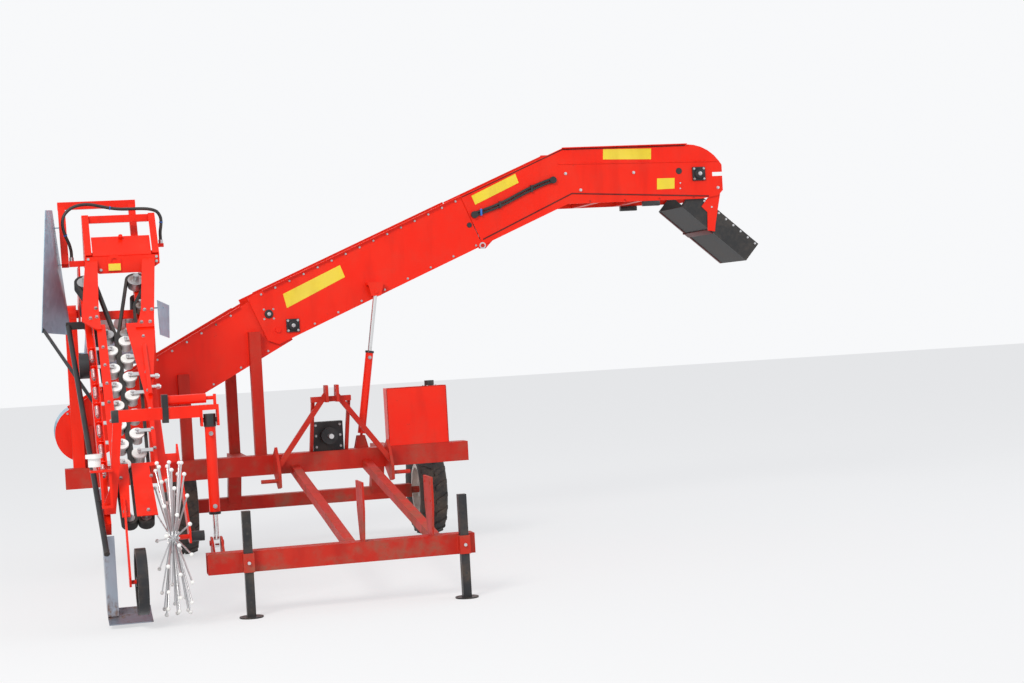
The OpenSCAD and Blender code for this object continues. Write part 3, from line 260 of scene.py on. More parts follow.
def painted(name, base, pale, deep, chips, dust, gloss=0.34):
    """Paint with its sun-paled clouds, its deeper streaks, and how much it is chipped and dusty."""
    f = Finish(name, Metallic=0.0, IOR=1.5, Specular_IOR_Level=0.26)
    clouds = f.noise(2.3, 4, 0.6).ramp(0.35, 0.7)
    streaks = f.noise(9, 3, 0.55, stretch=(1, 1, 0.18)).ramp(0.45, 0.75)
    colour = f.mix(clouds * 0.55, base, pale)
    colour = f.mix(streaks * 0.35, colour, deep)
    chip = (f.noise(85, 4, 0.7) + f.noise(11, 2) * 0.5).ramp(1.02 - 0.05 * chips, 1.06 - 0.05 * chips)
    colour = f.mix(chip * 0.9, colour, PRIMER)
    height = f.node("ShaderNodeSeparateXYZ", None, {0: f.place}, "Z")
    low = height.ramp(DUSTY_UP_TO, FULL_DUST_AT)
    settled = f.noise(5.5, 5, 0.65).ramp(0.42, 0.72) * (0.25 + low * 0.75) * dust
    colour = f.mix(settled, colour, SOIL)
    f.link("Base Color", colour)
    f.link("Roughness", gloss + clouds * 0.1 + settled * 0.4 + chip * 0.3)
    f.bump(f.noise(140, 2) * 0.3 + settled * f.noise(60, 4) - chip * 0.8, 0.0007, 0.5)
    return f.material


red_paint = painted("red_paint", (0.88, 0.016, 0.002), pale=(0.88, 0.030, 0.009), deep=(0.60, 0.012, 0.003),
                    chips=0.3, dust=0.25, gloss=0.3)
# This red is chipped and dusty, and its darker tone is also painted shade for the low chassis.
red_worn_shaded = painted("red_worn_shaded", (0.52, 0.014, 0.005), pale=(0.55, 0.040, 0.020), deep=(0.28, 0.012, 0.007),
                   chips=0.9, dust=0.7, gloss=0.42)
maroon_paint = painted("maroon_paint", (0.11, 0.010, 0.009), pale=(0.14, 0.020, 0.016), deep=(0.05, 0.006, 0.006),
                       chips=0.5, dust=0.4, gloss=0.36)
dark_paint = painted("dark_paint", (0.024, 0.025, 0.028), pale=(0.045, 0.046, 0.05), deep=(0.012, 0.012, 0.014),
                     chips=0.7, dust=0.4)
rim_paint = painted("rim_paint", (0.70, 0.69, 0.64), pale=(0.62, 0.61, 0.56), deep=(0.38, 0.34, 0.29),
                    chips=0.7, dust=0.9)
yellow_plate = painted("yellow_plate", (0.84, 0.64, 0.035), pale=(0.86, 0.68, 0.10), deep=(0.60, 0.42, 0.03),
                       chips=0.2, dust=0.15, gloss=0.28)
paints = (red_paint, red_worn_shaded, maroon_paint, dark_paint, rim_paint, yellow_plate)
print("paints:", [paint.name for paint in paints])

# %% [markdown]
# Bare steel shines where hands and roots rub it and rusts where rain stands. The finger wheel, the topping discs and
# the cylinders' rods are kept bright by their work, and the share's steel is a bluish grey.

# %% Bare steel and chrome
RUST = (0.16, 0.075, 0.04)


def bare_steel(name, base, rust, shine=0.38):
    f = Finish(name, Metallic=0.9)
    grain = f.noise(60, 3, 0.6, stretch=(1, 1, 0.2))
    rusty = (f.noise(7, 5, 0.7) + grain * 0.2).ramp(0.72 - 0.3 * rust, 0.95 - 0.3 * rust)
    colour = f.mix(grain * 0.4, base, tuple(c * 0.72 for c in base))
    f.link("Base Color", f.mix(rusty, colour, RUST))
    f.link("Roughness", shine + grain * 0.14 + rusty * 0.3)
    f.link("Metallic", 0.92 - rusty * 0.75)
    f.bump(grain + rusty * f.noise(120, 3), 0.0004, 0.5)
    return f.material


worn_steel = bare_steel("worn_steel", (0.50, 0.50, 0.51), rust=0.45)
bright_steel = bare_steel("bright_steel", (0.68, 0.68, 0.69), rust=0.1, shine=0.26)
share_steel = bare_steel("share_steel", (0.36, 0.40, 0.47), rust=0.35, shine=0.3)
chrome = bare_steel("chrome", (0.80, 0.80, 0.80), rust=0.0, shine=0.1)
print("bare steels:", [steel.name for steel in (worn_steel, bright_steel, share_steel, chrome)])

# %% [markdown]
# Zinc sheet has a look of its own: large crystals in a grey that is blued as a painted reflection of the sky, some
# paler than others. The cells of a Voronoi pattern give those crystals, and each cell's own colour says how pale it
# is.

# %% Zinc sheet
CRYSTALS_A_METRE = 26
# The blue in both crystal colours is a painted reflection of the sky.
DEEP_ZINC_SKY_BLUE, PALE_ZINC_SKY_BLUE, ZINC_STAIN = (0.28, 0.46, 0.58), (0.41, 0.59, 0.71), (0.38, 0.36, 0.33)


def zinc_sheet():
    f = Finish("zinc_sheet", Metallic=0.2)
    crystals = f.node("ShaderNodeTexVoronoi", None, {"Vector": f.place, "Scale": CRYSTALS_A_METRE}, "Color")
    lightness = f.node("ShaderNodeSeparateXYZ", None, {0: crystals}, "X")
    stain = f.noise(4, 4, 0.6).ramp(0.5, 0.75)
    colour = f.mix(lightness * 0.8, DEEP_ZINC_SKY_BLUE, PALE_ZINC_SKY_BLUE)
    f.link("Base Color", f.mix(stain * 0.3, colour, ZINC_STAIN))
    f.link("Roughness", 0.36 + lightness * 0.16 + stain * 0.2)
    f.bump(f.noise(30, 2), 0.0006, 0.4)
    return f.material


zinc = zinc_sheet()
print("zinc:", len(zinc.node_tree.nodes), "nodes")

# %% [markdown]
# Rubber is almost black but not quite, and soil greys it. The picking belts, the web belts, the tyres
# and the chute share one recipe with a different amount of dust.

# %% Rubber and hose
DUST = (0.15, 0.115, 0.085)


def rubber(name, base, dust, rough=0.62, grain=90):
    f = Finish(name)
    settled = (f.noise(6, 5, 0.7) * 0.8 + f.noise(40, 3) * 0.3).ramp(0.42, 0.8) * dust
    f.link("Base Color", f.mix(settled, base, DUST))
    f.link("Roughness", rough + settled * 0.25)
    f.bump(f.noise(grain, 4, 0.7), 0.0006, 0.6)
    return f.material


belt_rubber = rubber("belt_rubber", (0.014, 0.014, 0.015), dust=0.3)
web_rubber = rubber("web_rubber", (0.022, 0.021, 0.02), dust=0.6)
tyre_rubber = rubber("tyre_rubber", (0.024, 0.024, 0.025), dust=0.75, rough=0.7, grain=60)
hose_rubber = rubber("hose_rubber", (0.014, 0.014, 0.015), dust=0.2, rough=0.42, grain=200)
flap_rubber = rubber("flap_rubber", (0.012, 0.012, 0.013), dust=0.3, rough=0.5, grain=40)
print("rubbers:", [stuff.name for stuff in (belt_rubber, web_rubber, tyre_rubber, hose_rubber, flap_rubber)])

# %% [markdown]
# The rollers' caps are off-white nylon, stained by green tops, with a soft gloss and no coat. Hose
# straps, plugs and caps are made of the same stuff in blue and in black.

# %% Nylon
STAINED = 0.3


def nylon(name, base, stain_colour):
    f = Finish(name, IOR=1.5)
    stain = (f.noise(14, 4, 0.6) + f.noise(70, 2) * 0.3).ramp(0.55, 0.9) * STAINED
    f.link("Base Color", f.mix(stain, base, stain_colour))
    f.link("Roughness", 0.36 + stain * 0.3)
    f.bump(f.noise(55, 2), 0.0003, 0.3)
    return f.material


white_nylon = nylon("white_nylon", (0.90, 0.90, 0.88), stain_colour=(0.45, 0.42, 0.32))
blue_tie = nylon("blue_tie", (0.03, 0.16, 0.6), stain_colour=(0.02, 0.08, 0.3))
black_plastic = nylon("black_plastic", (0.02, 0.02, 0.021), stain_colour=(0.1, 0.08, 0.06))
print("nylons:", [stuff.name for stuff in (white_nylon, blue_tie, black_plastic)])

# %% [markdown]
# Most solids have one finish. Beams low on the chassis are worn, and their red is also darker as painted shade; what
# stands higher is still a fresh red. We only fill the material slots and leave the meshes alone.

# %% Solids with one finish


def dress(node, finish, *others):
    """Gives a solid its finish, and gives other finishes to the triangles that their tests choose."""
    mesh = nodes[node].data
    mesh.materials.clear()
    for material in (finish, *(other for other, test in others)):
        mesh.materials.append(material)
    for face in mesh.polygons:
        face.material_index = next((i + 1 for i, (other, test) in enumerate(others) if test(face)), 0)


ONE_FINISH = (
    (red_worn_shaded, ("main_frame", "axle_beam", "conveyor_posts", "push_tubes", "belly_beam", "headstock")),
    (red_paint, ("picker_mast", "boom_lower", "boom_tip", "rail_left", "rail_right", "pivot_arms", "head_cover",
                 "nose", "boom_barrel")),
    (dark_paint, ("gearbox", "stand_right", "stand_left", "side_bars", "gauge_wheel")),
    (rim_paint, ("rim_right", "rim_left")),
    (tyre_rubber, ("tyre_right", "tyre_left")),
    (hose_rubber, ("head_hose", "tip_hoses")),
    (belt_rubber, ("picking_belts",)),
    (zinc, ("transfer_chute",)),
    (bright_steel, ("pto_stub", "topper_right", "topper_left")),
    (share_steel, ("share",)),
    (chrome, ("lift_rod", "boom_rod")))

for finish, names in ONE_FINISH:
    for name in names:
        dress(name, finish)
print("solids with one finish:", sum(len(names) for finish, names in ONE_FINISH))

# %% [markdown]
# A solid can hold more than one finish: the web has black belts and steel rods in one solid. We set
# the material of each triangle by where its middle lies. Most tests are a box with some sides open.

# %% Tests for triangles
OPEN = (-math.inf, math.inf)


def over(limit):
    return limit, math.inf


def under(limit):
    return -math.inf, limit


def millimetres(face):
    return face.center.x * 1000 + MID_X, face.center.y * 1000 + MID_Y, face.center.z * 1000


def unit_place(face):
    """Where a triangle's middle lies on the picking unit: x, s, n."""
    x, y, z = millimetres(face)
    y, z = y - UNIT_Y, z - UNIT_Z
    return x - UNIT_X, y * math.cos(TILT) + z * math.sin(TILT), -y * math.sin(TILT) + z * math.cos(TILT)


def within(x=OPEN, y=OPEN, z=OPEN):
    """Chooses the triangles between limits across, along and up the machine."""
    return lambda face: all(low < value < high for value, (low, high) in zip(millimetres(face), (x, y, z)))


def unit_within(x=OPEN, n=OPEN):
    """Chooses the triangles between limits across the picking unit and square to it."""
    return lambda face: x[0] < unit_place(face)[0] < x[1] and n[0] < unit_place(face)[2] < n[1]


def either(first, second):
    return lambda face: first(face) or second(face)


# %% [markdown]
# Each test is named for what it chooses. Only the fingers' nylon tips and the slanted brace need a
# test of their own, because one is a ring and the other follows a line.

# %% Solids with two finishes or more
WHEEL_Y, WHEEL_Z, TIPS_FROM = -2200, 490, 424
BRACE_Y, BRACE_Z, BRACE_RISE, BRACE_HALF = -325, 1745, 0.559, 24
ROLLER_SIDE = over(-190)


def finger_tips(face):
    x, y, z = millimetres(face)
    return math.hypot(y - WHEEL_Y, z - WHEEL_Z) > TIPS_FROM


def brace(face):
    x, y, z = millimetres(face)
    return x < -1650 and abs(z - BRACE_Z - (y - BRACE_Y) * BRACE_RISE) < BRACE_HALF


low_end = within(x=under(-1700), y=(421, 979))
lifting_eye = within(x=over(-1154), z=over(2301))
hose_fitting = within(x=(-1756, -1724), z=(2206, 2232))
wheel_motor = within(x=over(-1212.5))
tank_cap = within(z=over(1191))
arm_cap, pivot_block = within(x=under(-1612.5), z=over(1100)), within(x=(-1325.5, -1289.5), z=over(1100))
barrel_cap = within(z=over(1109))
web_belts = either(within(y=(426, 473)), within(y=(927, 974)))
hangers = either(within(y=under(418.9)), within(y=over(981.1)))
drive_motors = unit_within(n=under(-45))
pin_heads = unit_within(ROLLER_SIDE, over(57.5))
roller_arms = either(unit_within(ROLLER_SIDE, over(45)), unit_within(ROLLER_SIDE, under(-29)))
rod_brackets = unit_within(over(-186))

dress("cross_trough", red_paint, (zinc, low_end))
dress("head_frame", red_paint, (worn_steel, lifting_eye))
dress("head_hoop", red_paint, (worn_steel, hose_fitting))
dress("wheel_arm", red_paint, (dark_paint, wheel_motor))
dress("oil_tank", red_paint, (black_plastic, tank_cap))
dress("front_arm", red_paint, (black_plastic, arm_cap), (dark_paint, pivot_block))
dress("lift_barrel", red_paint, (black_plastic, barrel_cap))
dress("deflectors", zinc, (dark_paint, brace))
dress("chute", flap_rubber, (red_paint, hangers))
for name in ("cross_web", "boom_web", "tip_web"):
    dress(name, worn_steel, (web_rubber, web_belts))
dress("belt_pulleys", worn_steel, (black_plastic, drive_motors))
dress("belt_rollers", white_nylon, (bright_steel, pin_heads), (worn_steel, roller_arms))
dress("tension_rods", worn_steel, (red_paint, rod_brackets))
dress("finger_wheel", bright_steel, (white_nylon, finger_tips))
print("dressed", len(nodes), "solids")

# %% [markdown]
# From here on we add what the solids leave out. Most of it is small and comes in rows, so one helper
# collects many copies in one mesh and hands it to the body that carries it. Round bosses, blocks with
# broken edges and bolts make up nearly all of it.

# %% Helpers for new pieces


def turned(place, direction):
    """The matrix that moves a shape made along Z to a place, along a direction."""
    return Matrix.Translation(place) @ Z.rotation_difference(direction).to_matrix().to_4x4()


def finish_piece(name, bm, finish, body, smooth=None):
    """Closes a bmesh into an object that rides on a body."""
    mesh = bpy.data.meshes.new(name)
    bmesh.ops.recalc_face_normals(bm, faces=bm.faces)
    bm.to_mesh(mesh)
    bm.free()
    obj = bpy.data.objects.new(name, mesh)
    scene.collection.objects.link(obj)
    mesh.materials.append(finish)
    if smooth:
        mesh.shade_smooth()
        mesh.set_sharp_from_angle(angle=math.radians(smooth))
    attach(obj, body)
    return obj


def rounded_edges(bm, edges, width):
    """Breaks sharp edges and gives the vertices that this makes."""
    return bmesh.ops.bevel(bm, geom=edges, offset=width / 1000, offset_type="OFFSET", affect="EDGES", segments=2,
                           profile=0.5, material=-1)["verts"]


def add_block(bm, low, high, edge=1.5, matrix=None):
    """A block from its low to its high corner, at the machine's own places, or where a matrix moves it."""
    a, b = (Vector(low) / 1000, Vector(high) / 1000) if matrix else (at(*low), at(*high))
    made = bmesh.ops.create_cube(bm, size=1)["verts"]
    bmesh.ops.scale(bm, verts=made, vec=b - a)
    bmesh.ops.translate(bm, verts=made, vec=(a + b) / 2)
    grown = rounded_edges(bm, list({e for v in made for e in v.link_edges}), edge)
    if matrix:
        bmesh.ops.transform(bm, verts=list({*grown, *(v for v in made if v.is_valid)}), matrix=matrix)


def add_disc(bm, place, direction, radius, height, sides=24, top=None, edge=0.0):
    """A round or six-sided boss that stands on a place; top is its upper radius."""
    made = bmesh.ops.create_cone(bm, cap_ends=True, segments=sides, radius1=radius / 1000,
                                 radius2=(radius if top is None else top) / 1000, depth=height / 1000)["verts"]
    bmesh.ops.translate(bm, verts=made, vec=Z * (height / 2000))
    if edge:
        rim = [e for e in {e for v in made for e in v.link_edges}
               if all(abs(v.co.z - height / 1000) < 1e-6 for v in e.verts)]
        made = list({*made, *rounded_edges(bm, rim, edge)})
    bmesh.ops.transform(bm, verts=[v for v in made if v.is_valid], matrix=turned(place, direction))


def add_stack(bm, place, direction, discs):
    """Discs one on the other, each as radius, height, number of sides and upper radius."""
    for radius, height, sides, top in discs:
        add_disc(bm, place, direction, radius, height, sides, top)
        place = place + direction * (height / 1000)


# %% [markdown]
# A bolt shows as a washer and a six-sided head with a crowned top. Bolts stand in rows and circles, so
# two more helpers give their places: a row is only a start, an end and a count.

# %% Bolts, rows and circles


def bolts(name, body, places, direction, across=17, finish=worn_steel):
    """Bolts on a plate; across is the width over the head's flats."""
    bm = bmesh.new()
    washer, corner = across * 0.62, across / 2 / math.cos(math.radians(30))
    for place in places:
        add_stack(bm, place, direction, ((washer, 2, 16, washer), (corner, across * 0.5, 6, corner * 0.93)))
    finish_piece(name, bm, finish, body)
    print(name, len(places), "bolts")


def row(start, end, count):
    return [start.lerp(end, k / (count - 1)) for k in range(count)]


def circle(centre, first, second, radius, count, start=0.0):
    """Places round a centre, in the plane of two directions."""
    return [centre + (first * math.cos(a) + second * math.sin(a)) * radius / 1000
            for a in (start + 2 * math.pi * k / count for k in range(count))]


# %% [markdown]
# The sides of the lower boom and of the trough are bent sheet, bolted along both edges at even steps.
# Near and far sides are alike, so each row is written once and made twice.

# %% Bolts on the lower boom and the trough
FOLD_X, FOLD_Z = 1256, 2203
BOOM_FOOT_X, BOOM_ANGLE = -300, 22.6
TROUGH_FOOT_X, TROUGH_ANGLE = -1880, 28
TROUGH_MID_X, TROUGH_MID_Z = -1130, 1540
BOOM_NEAR = 400
BOOM_SIDES = (("near", BOOM_NEAR, -Y), ("far", 1000, Y))
TROUGH_SIDES = (("near", 420, -Y), ("far", 980, Y))
# rows of bolts, as their start and end along the side, their height on it and their count
BOOM_ROWS = ((40, 1640, 382, 15), (300, 1640, 22, 8))
TROUGH_ROWS = ((60, 1400, -20, 12), (120, 1500, -378, 7))

on_boom = on_slope(BOOM_FOOT_X, FOLD_Z - (FOLD_X - BOOM_FOOT_X) * math.tan(math.radians(BOOM_ANGLE)), BOOM_ANGLE)
on_trough = on_slope(TROUGH_FOOT_X, TROUGH_MID_Z - (TROUGH_MID_X - TROUGH_FOOT_X)
                     * math.tan(math.radians(TROUGH_ANGLE)), TROUGH_ANGLE)


def rows_on(side_place, y, rows):
    return [place for start, end, z, count in rows
            for place in row(side_place(start, z, y), side_place(end, z, y), count)]


for side, y, out in BOOM_SIDES:
    bolts("boom_bolts_" + side, "boom", rows_on(on_boom, y, BOOM_ROWS), out, 13)
for side, y, out in TROUGH_SIDES:
    bolts("trough_bolts_" + side, "chassis", rows_on(on_trough, y, TROUGH_ROWS), out, 13)

# %% [markdown]
# The boom's tip is held by a few large bright screws instead, and small ones in the paint's colour
# close its lower edge.

# %% Screws on the boom's tip
# places as x and z
TIP_SCREWS = ((1928, 2715), (2040, 2587), (2466, 2704), (3140, 2565))
SMALL_SCREWS = ((2836, 2611), (2833, 2569))
EDGE_START, EDGE_END, EDGE_Z, EDGE_COUNT = 2110, 2940, 2500, 4

for side, y, out in BOOM_SIDES:
    bolts("tip_bolts_" + side, "boom_tip", [at(x, y, z) for x, z in TIP_SCREWS], out, 19, bright_steel)
    bolts("tip_edge_" + side, "boom_tip", row(at(EDGE_START, y, EDGE_Z), at(EDGE_END, y, EDGE_Z), EDGE_COUNT), out, 11,
          red_worn_shaded)
bolts("tip_screws_near", "boom_tip", [at(x, BOOM_NEAR, z) for x, z in SMALL_SCREWS], -Y, 10, bright_steel)

# %% [markdown]
# Blank yellow plates sit on the near side. A plate is a thin flat shape pulled out by its thickness.
# The ones on the boom have a rivet at each corner, and the one on the head is glued.

# %% Yellow plates
PLATE = 2
# name: body, place along Y, whether it is riveted, corners as x and z
PLATES = {
    "plate_boom_low": ("boom", BOOM_NEAR, True, ((-251, 1918), (177, 2108), (209, 2019), (-228, 1815))),
    "plate_boom_fold": ("boom_tip", BOOM_NEAR, True, ((1191, 2575), (1537, 2727), (1560, 2659), (1217, 2508))),
    "plate_tip": ("boom_tip", BOOM_NEAR, True, ((2234, 2888), (2616, 2882), (2611, 2800), (2229, 2811))),
    "plate_tip_small": ("boom_tip", BOOM_NEAR, True, ((2651, 2652), (2792, 2651), (2787, 2570), (2646, 2568))),
    "plate_head": ("picker", -360, False, ((-1510, 2164), (-1430, 2164), (-1430, 2118), (-1510, 2118)))}

for name, (body, y, riveted, corners) in PLATES.items():
    bm = bmesh.new()
    corners = [at(x, y, z) for x, z in corners]
    flat = bm.faces.new([bm.verts.new(c) for c in corners])
    grown = bmesh.ops.extrude_face_region(bm, geom=[flat])["geom"]
    bmesh.ops.translate(bm, verts=[g for g in grown if isinstance(g, bmesh.types.BMVert)], vec=-Y * (PLATE / 1000))
    if riveted:
        centre = sum(corners, Vector()) / 4
        for c in corners:
            add_disc(bm, c.lerp(centre, 0.11) - Y * (PLATE / 1000), -Y, 4, 2, 10, 2)
    finish_piece(name, bm, yellow_plate, body)
print("plates:", len(PLATES))

# %% [markdown]
# Folds, springs, welds and hoses are all a round bar that follows a line. One sweep makes them: it
# sets a ring of points square to the line at each of its places and bridges ring to ring. A curve
# object with a bevel would do as well, but a mesh can be joined with other pieces.

# %% The sweep


def skin(bm, rings):
    """Joins rings of points with faces, ring by ring, and closes both ends."""
    loops = []
    for ring in rings:
        verts = [bm.verts.new(p) for p in ring]
        loops.append([bm.edges.new(pair) for pair in zip(verts, verts[1:] + verts[:1])])
    for low, high in zip(loops, loops[1:]):
        bmesh.ops.bridge_loops(bm, edges=low + high)
    for end in (loops[0], loops[-1]):
        bmesh.ops.contextual_create(bm, geom=end)


def add_tube(bm, points, radius, sides=8):
    """Sweeps a round section along points. Each ring keeps the turn of the last, so nothing twists."""
    rings, side = [], None
    for i, point in enumerate(points):
        along = (points[min(i + 1, len(points) - 1)] - points[max(i - 1, 0)]).normalized()
        side = along.orthogonal() if side is None else side - along * side.dot(along)
        side.normalize()
        other = along.cross(side)
        angles = [2 * math.pi * k / sides for k in range(sides)]
        rings.append([point + (side * math.cos(a) + other * math.sin(a)) * radius / 1000 for a in angles])
    skin(bm, rings)


# %% [markdown]
# Each side of the boom's tip is pressed with two long folds that stiffen the sheet. The upper fold is a red bead that
# catches the light. The lower fold is a dark maroon bead of painted shade, and a maroon line of painted shadow runs
# under the bent top edge. Each is a slim bar swept along its line, half sunk in the sheet.

# %% Folds and painted shade lines on the boom's tip
# name: radius, finish, corners as x and z
FOLDS = {"tip_fold_top": (6.5, red_paint, ((1873, 2789), (3148, 2769))),
         # The low fold and the line under the top edge are maroon as painted shade; the top fold is the paint's own
         # red.
         "tip_fold_low_shade": (5, maroon_paint, ((1262, 2248), (1970, 2563), (3063, 2503))),
         "tip_flange_shadow": (4, maroon_paint, ((1116, 2568), (1912, 2896), (2890, 2896)))}

for side, y, out in BOOM_SIDES:
    for name, (radius, finish, line) in FOLDS.items():
        bm = bmesh.new()
        add_tube(bm, [at(x, y, z) for x, z in line], radius)
        finish_piece(name + "_" + side, bm, finish, "boom_tip", 40)
print("folds and seams on each side:", len(FOLDS))

# %% [markdown]
# A farm tyre is a soft body with hard lugs. We turn its section once round the axle, then stand two
# rows of bent lugs on the crown. Each lug has three sections, so it follows the round of the tyre.

# %% Tyres with lugs
AXLE_Y, AXLE_Z = 1250, 355
WHEELS = (("right", -1000, -1), ("left", 900, 1))
# the tyre's section, as radius and distance from its middle
SECTION = [(201, -79), (214, -90), (240, -99), (272, -104.5), (300, -104), (322, -98), (337, -86), (343, -60),
           (344, 0), (343, 60), (337, 86), (322, 98), (300, 104), (272, 104.5), (240, 99), (214, 90), (201, 79)]
# a lug's three sections, as distance from the middle, inner and outer radius, and how far round it lies
LUG = ((6, 343.5, 354.6, 0.0), (50, 343, 353.5, 0.075), (97, 322, 339, 0.155))
LUGS, LUG_FOOT, LUG_TOP, SPIN_STEPS = 20, 0.055, 0.042, 44


def treaded_tyre(side, x):
    bm = bmesh.new()
    verts = [bm.verts.new(at(x + w, AXLE_Y, AXLE_Z + r)) for r, w in SECTION]
    edges = [bm.edges.new(pair) for pair in zip(verts, verts[1:] + verts[:1])]
    bmesh.ops.spin(bm, geom=verts + edges, cent=at(x, AXLE_Y, AXLE_Z), axis=X, angle=2 * math.pi,
                   steps=SPIN_STEPS, use_merge=True)
    bmesh.ops.remove_doubles(bm, verts=bm.verts, dist=1e-5)
    for row_side in (-1, 1):
        for k in range(LUGS):
            start = 2 * math.pi * (k + row_side / 4) / LUGS
            rings = []
            for w, low, high, lean in LUG:
                a = start + lean
                corners = [(low, a - LUG_FOOT), (high, a - LUG_TOP), (high, a + LUG_TOP), (low, a + LUG_FOOT)]
                rings.append([at(x + row_side * w, AXLE_Y + r * math.sin(t), AXLE_Z + r * math.cos(t))
                              for r, t in corners])
            skin(bm, rings)
    piece = finish_piece("treaded_tyre_" + side, bm, tyre_rubber, "wheel_" + side, 35)
    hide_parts("tyre_" + side)
    print(piece.name, len(piece.data.polygons), "faces")


for side, x, out in WHEELS:
    treaded_tyre(side, x)

# %% [markdown]
# Wheel nuts sit on a circle round the axle, and a cap closes the bearing. The finger wheel's hub is
# bolted on both faces.

# %% Wheel nuts, caps and hub bolts
WHEEL_NUTS, NUT_CIRCLE, RIM_DEPTH, CAP_OUT = 6, 105, 10, 60
FINGER_WHEEL_X, HUB_HALF, HUB_CIRCLE = -1315, 28, 33

for side, x, out in WHEELS:
    face_x = x if out > 0 else x - RIM_DEPTH
    bolts("nuts_wheel_" + side, "wheel_" + side,
          circle(at(face_x, AXLE_Y, AXLE_Z), Y, Z, NUT_CIRCLE, WHEEL_NUTS), X * out, 22, bright_steel)
    bm = bmesh.new()
    add_disc(bm, at(x + out * CAP_OUT, AXLE_Y, AXLE_Z), X * out, 44, 22, sides=28, top=36, edge=5)
    finish_piece("hub_cap_wheel_" + side, bm, black_plastic, "wheel_" + side, 40)
for face, out in (("in", -1), ("out", 1)):
    bolts("hub_bolts_" + face, "finger_wheel",
          circle(at(FINGER_WHEEL_X + out * HUB_HALF, WHEEL_Y, WHEEL_Z), Y, Z, HUB_CIRCLE, 6), X * out, 11,
          bright_steel)

# %% [markdown]
# A coil spring presses each roller of the left row to the belt. It is a helix: a circle whose centre
# climbs along the rod. A nut at each end of the rod sets how hard it presses.

# %% Springs on the tension rods
ROLLERS, FIRST_LEFT, FIRST_RIGHT, PITCH_S = 7, 670, 757.5, 175
ROD_X, ROD_N, SPRING_BACK = -170, 34, 78
NUTS_AT = (-13, 106)
COILS, STEPS, COIL, WIRE, SPRING_LENGTH = 8, 10, 14, 2.4, 84

springs, nuts = bmesh.new(), bmesh.new()
for k in range(ROLLERS):
    foot = FIRST_LEFT + PITCH_S * k - SPRING_BACK
    helix = []
    for i in range(COILS * STEPS + 1):
        a = 2 * math.pi * i / STEPS
        helix.append(on_unit(ROD_X + COIL * math.cos(a), foot + i / (COILS * STEPS) * SPRING_LENGTH,
                             ROD_N + COIL * math.sin(a)))
    add_tube(springs, helix, WIRE, 6)
    for s in NUTS_AT:
        add_disc(nuts, on_unit(ROD_X, foot + s, ROD_N), UP_SLOPE, 11, 9, 6)
finish_piece("roller_springs", springs, bright_steel, "picker", 60)
finish_piece("spring_nuts", nuts, worn_steel, "picker")
print("springs:", ROLLERS)

# %% [markdown]
# Every roller hangs from an arm under its rail. A lock nut on the roller's pin and a bolt through the
# rail hold the arm, and the same two rows repeat on the other side, half a step further up. The right
# rail leans out a little in its upper half, and its bolts follow it.

# %% Bolts on the picking unit
ARM_TOP, RAIL_TOP, LEG_TOP = 64, 70, 82
LEFT, RIGHT = -1, 1
PIN_X, LEFT_RAIL_X, RIGHT_RAIL_X = 50, -98, 142
LEAN_FROM, LEAN = 1170, 0.03
# holes as x and s
NOSE_HOLES = ((-75, 240), (-75, 520), (60, 240), (100, 520))
LEFT_LEG_HOLES = ((-158, 2000), (-118, 2010), (-118, 2100))
RIGHT_LEG_HOLES = ((160, 1935), (215, 1935), (190, 2060), (236, 2060))
HEAD_Y = -350
# holes as x and z
HEAD_HOLES = ((-1640, 2170), (-1640, 2200), (-1190, 2170), (-1190, 2200), (-1560, 2125), (-1270, 2125))


def rail_bolt_x(side, s):
    return LEFT_RAIL_X if side == LEFT else RIGHT_RAIL_X + max(0, s - LEAN_FROM) * LEAN


rollers = [(side, first + PITCH_S * k) for side, first in ((LEFT, FIRST_LEFT), (RIGHT, FIRST_RIGHT))
           for k in range(ROLLERS)]
bolts("roller_nuts", "picker", [on_unit(side * PIN_X, s, ARM_TOP) for side, s in rollers], OFF_SLOPE, 19, bright_steel)
bolts("rail_bolts", "picker", [on_unit(rail_bolt_x(side, s), s, RAIL_TOP) for side, s in rollers], OFF_SLOPE)
bolts("leg_bolts_left", "picker", [on_unit(x, s, LEG_TOP) for x, s in LEFT_LEG_HOLES], OFF_SLOPE, 19)
bolts("leg_bolts_right", "picker", [on_unit(x, s, LEG_TOP) for x, s in RIGHT_LEG_HOLES], OFF_SLOPE, 19)
bolts("nose_bolts", "picker", [on_unit(x, s, RAIL_TOP) for x, s in NOSE_HOLES], OFF_SLOPE)
bolts("head_bolts", "picker", [at(x, HEAD_Y, z) for x, z in HEAD_HOLES], -Y, 16)
print("rollers:", len(rollers))

# %% [markdown]
# Two couplings with bright nuts stand out from the rod on the right rail. Each is a stack of three
# discs. A black cap closes the end of the front arm's tube.

# %% Couplings and an end cap
BAR_X, BAR_N, COUPLINGS_S = 170, 84, (1300, 1400)
COUPLING = ((11, 30, 20, 11), (19, 20, 6, 18), (12, 8, 20, 8))
ARM_CAP = ((-1619, -2046.5, 1168.5), (-1577, -1973.5, 1241.5))

bm = bmesh.new()
for s in COUPLINGS_S:
    add_stack(bm, on_unit(BAR_X, s, BAR_N), X, COUPLING)
finish_piece("rod_couplings", bm, chrome, "picker", 40)
bm = bmesh.new()
add_block(bm, *ARM_CAP, 4)
finish_piece("arm_end_cap", bm, black_plastic, "picker", 40)

# %% [markdown]
# A conveyor's drum turns in flange bearings: a square plate with four bolts, a round housing and the
# shaft's end in it. The boom has a pair at its nose and a pair at its foot, and the trough has a pair
# at each end.

# %% Bearings
BEARING_PLATE, HOUSING, SHAFT_END = 12, 18, 14
NOSE_SHAFT_X, NOSE_SHAFT_Z = 2988, 2676
# shafts as x along the side and z square to it
FOOT_SHAFT, LOW_SHAFT, DRIVE_SHAFT = (150, 80), (90, -220), (1640, -150)


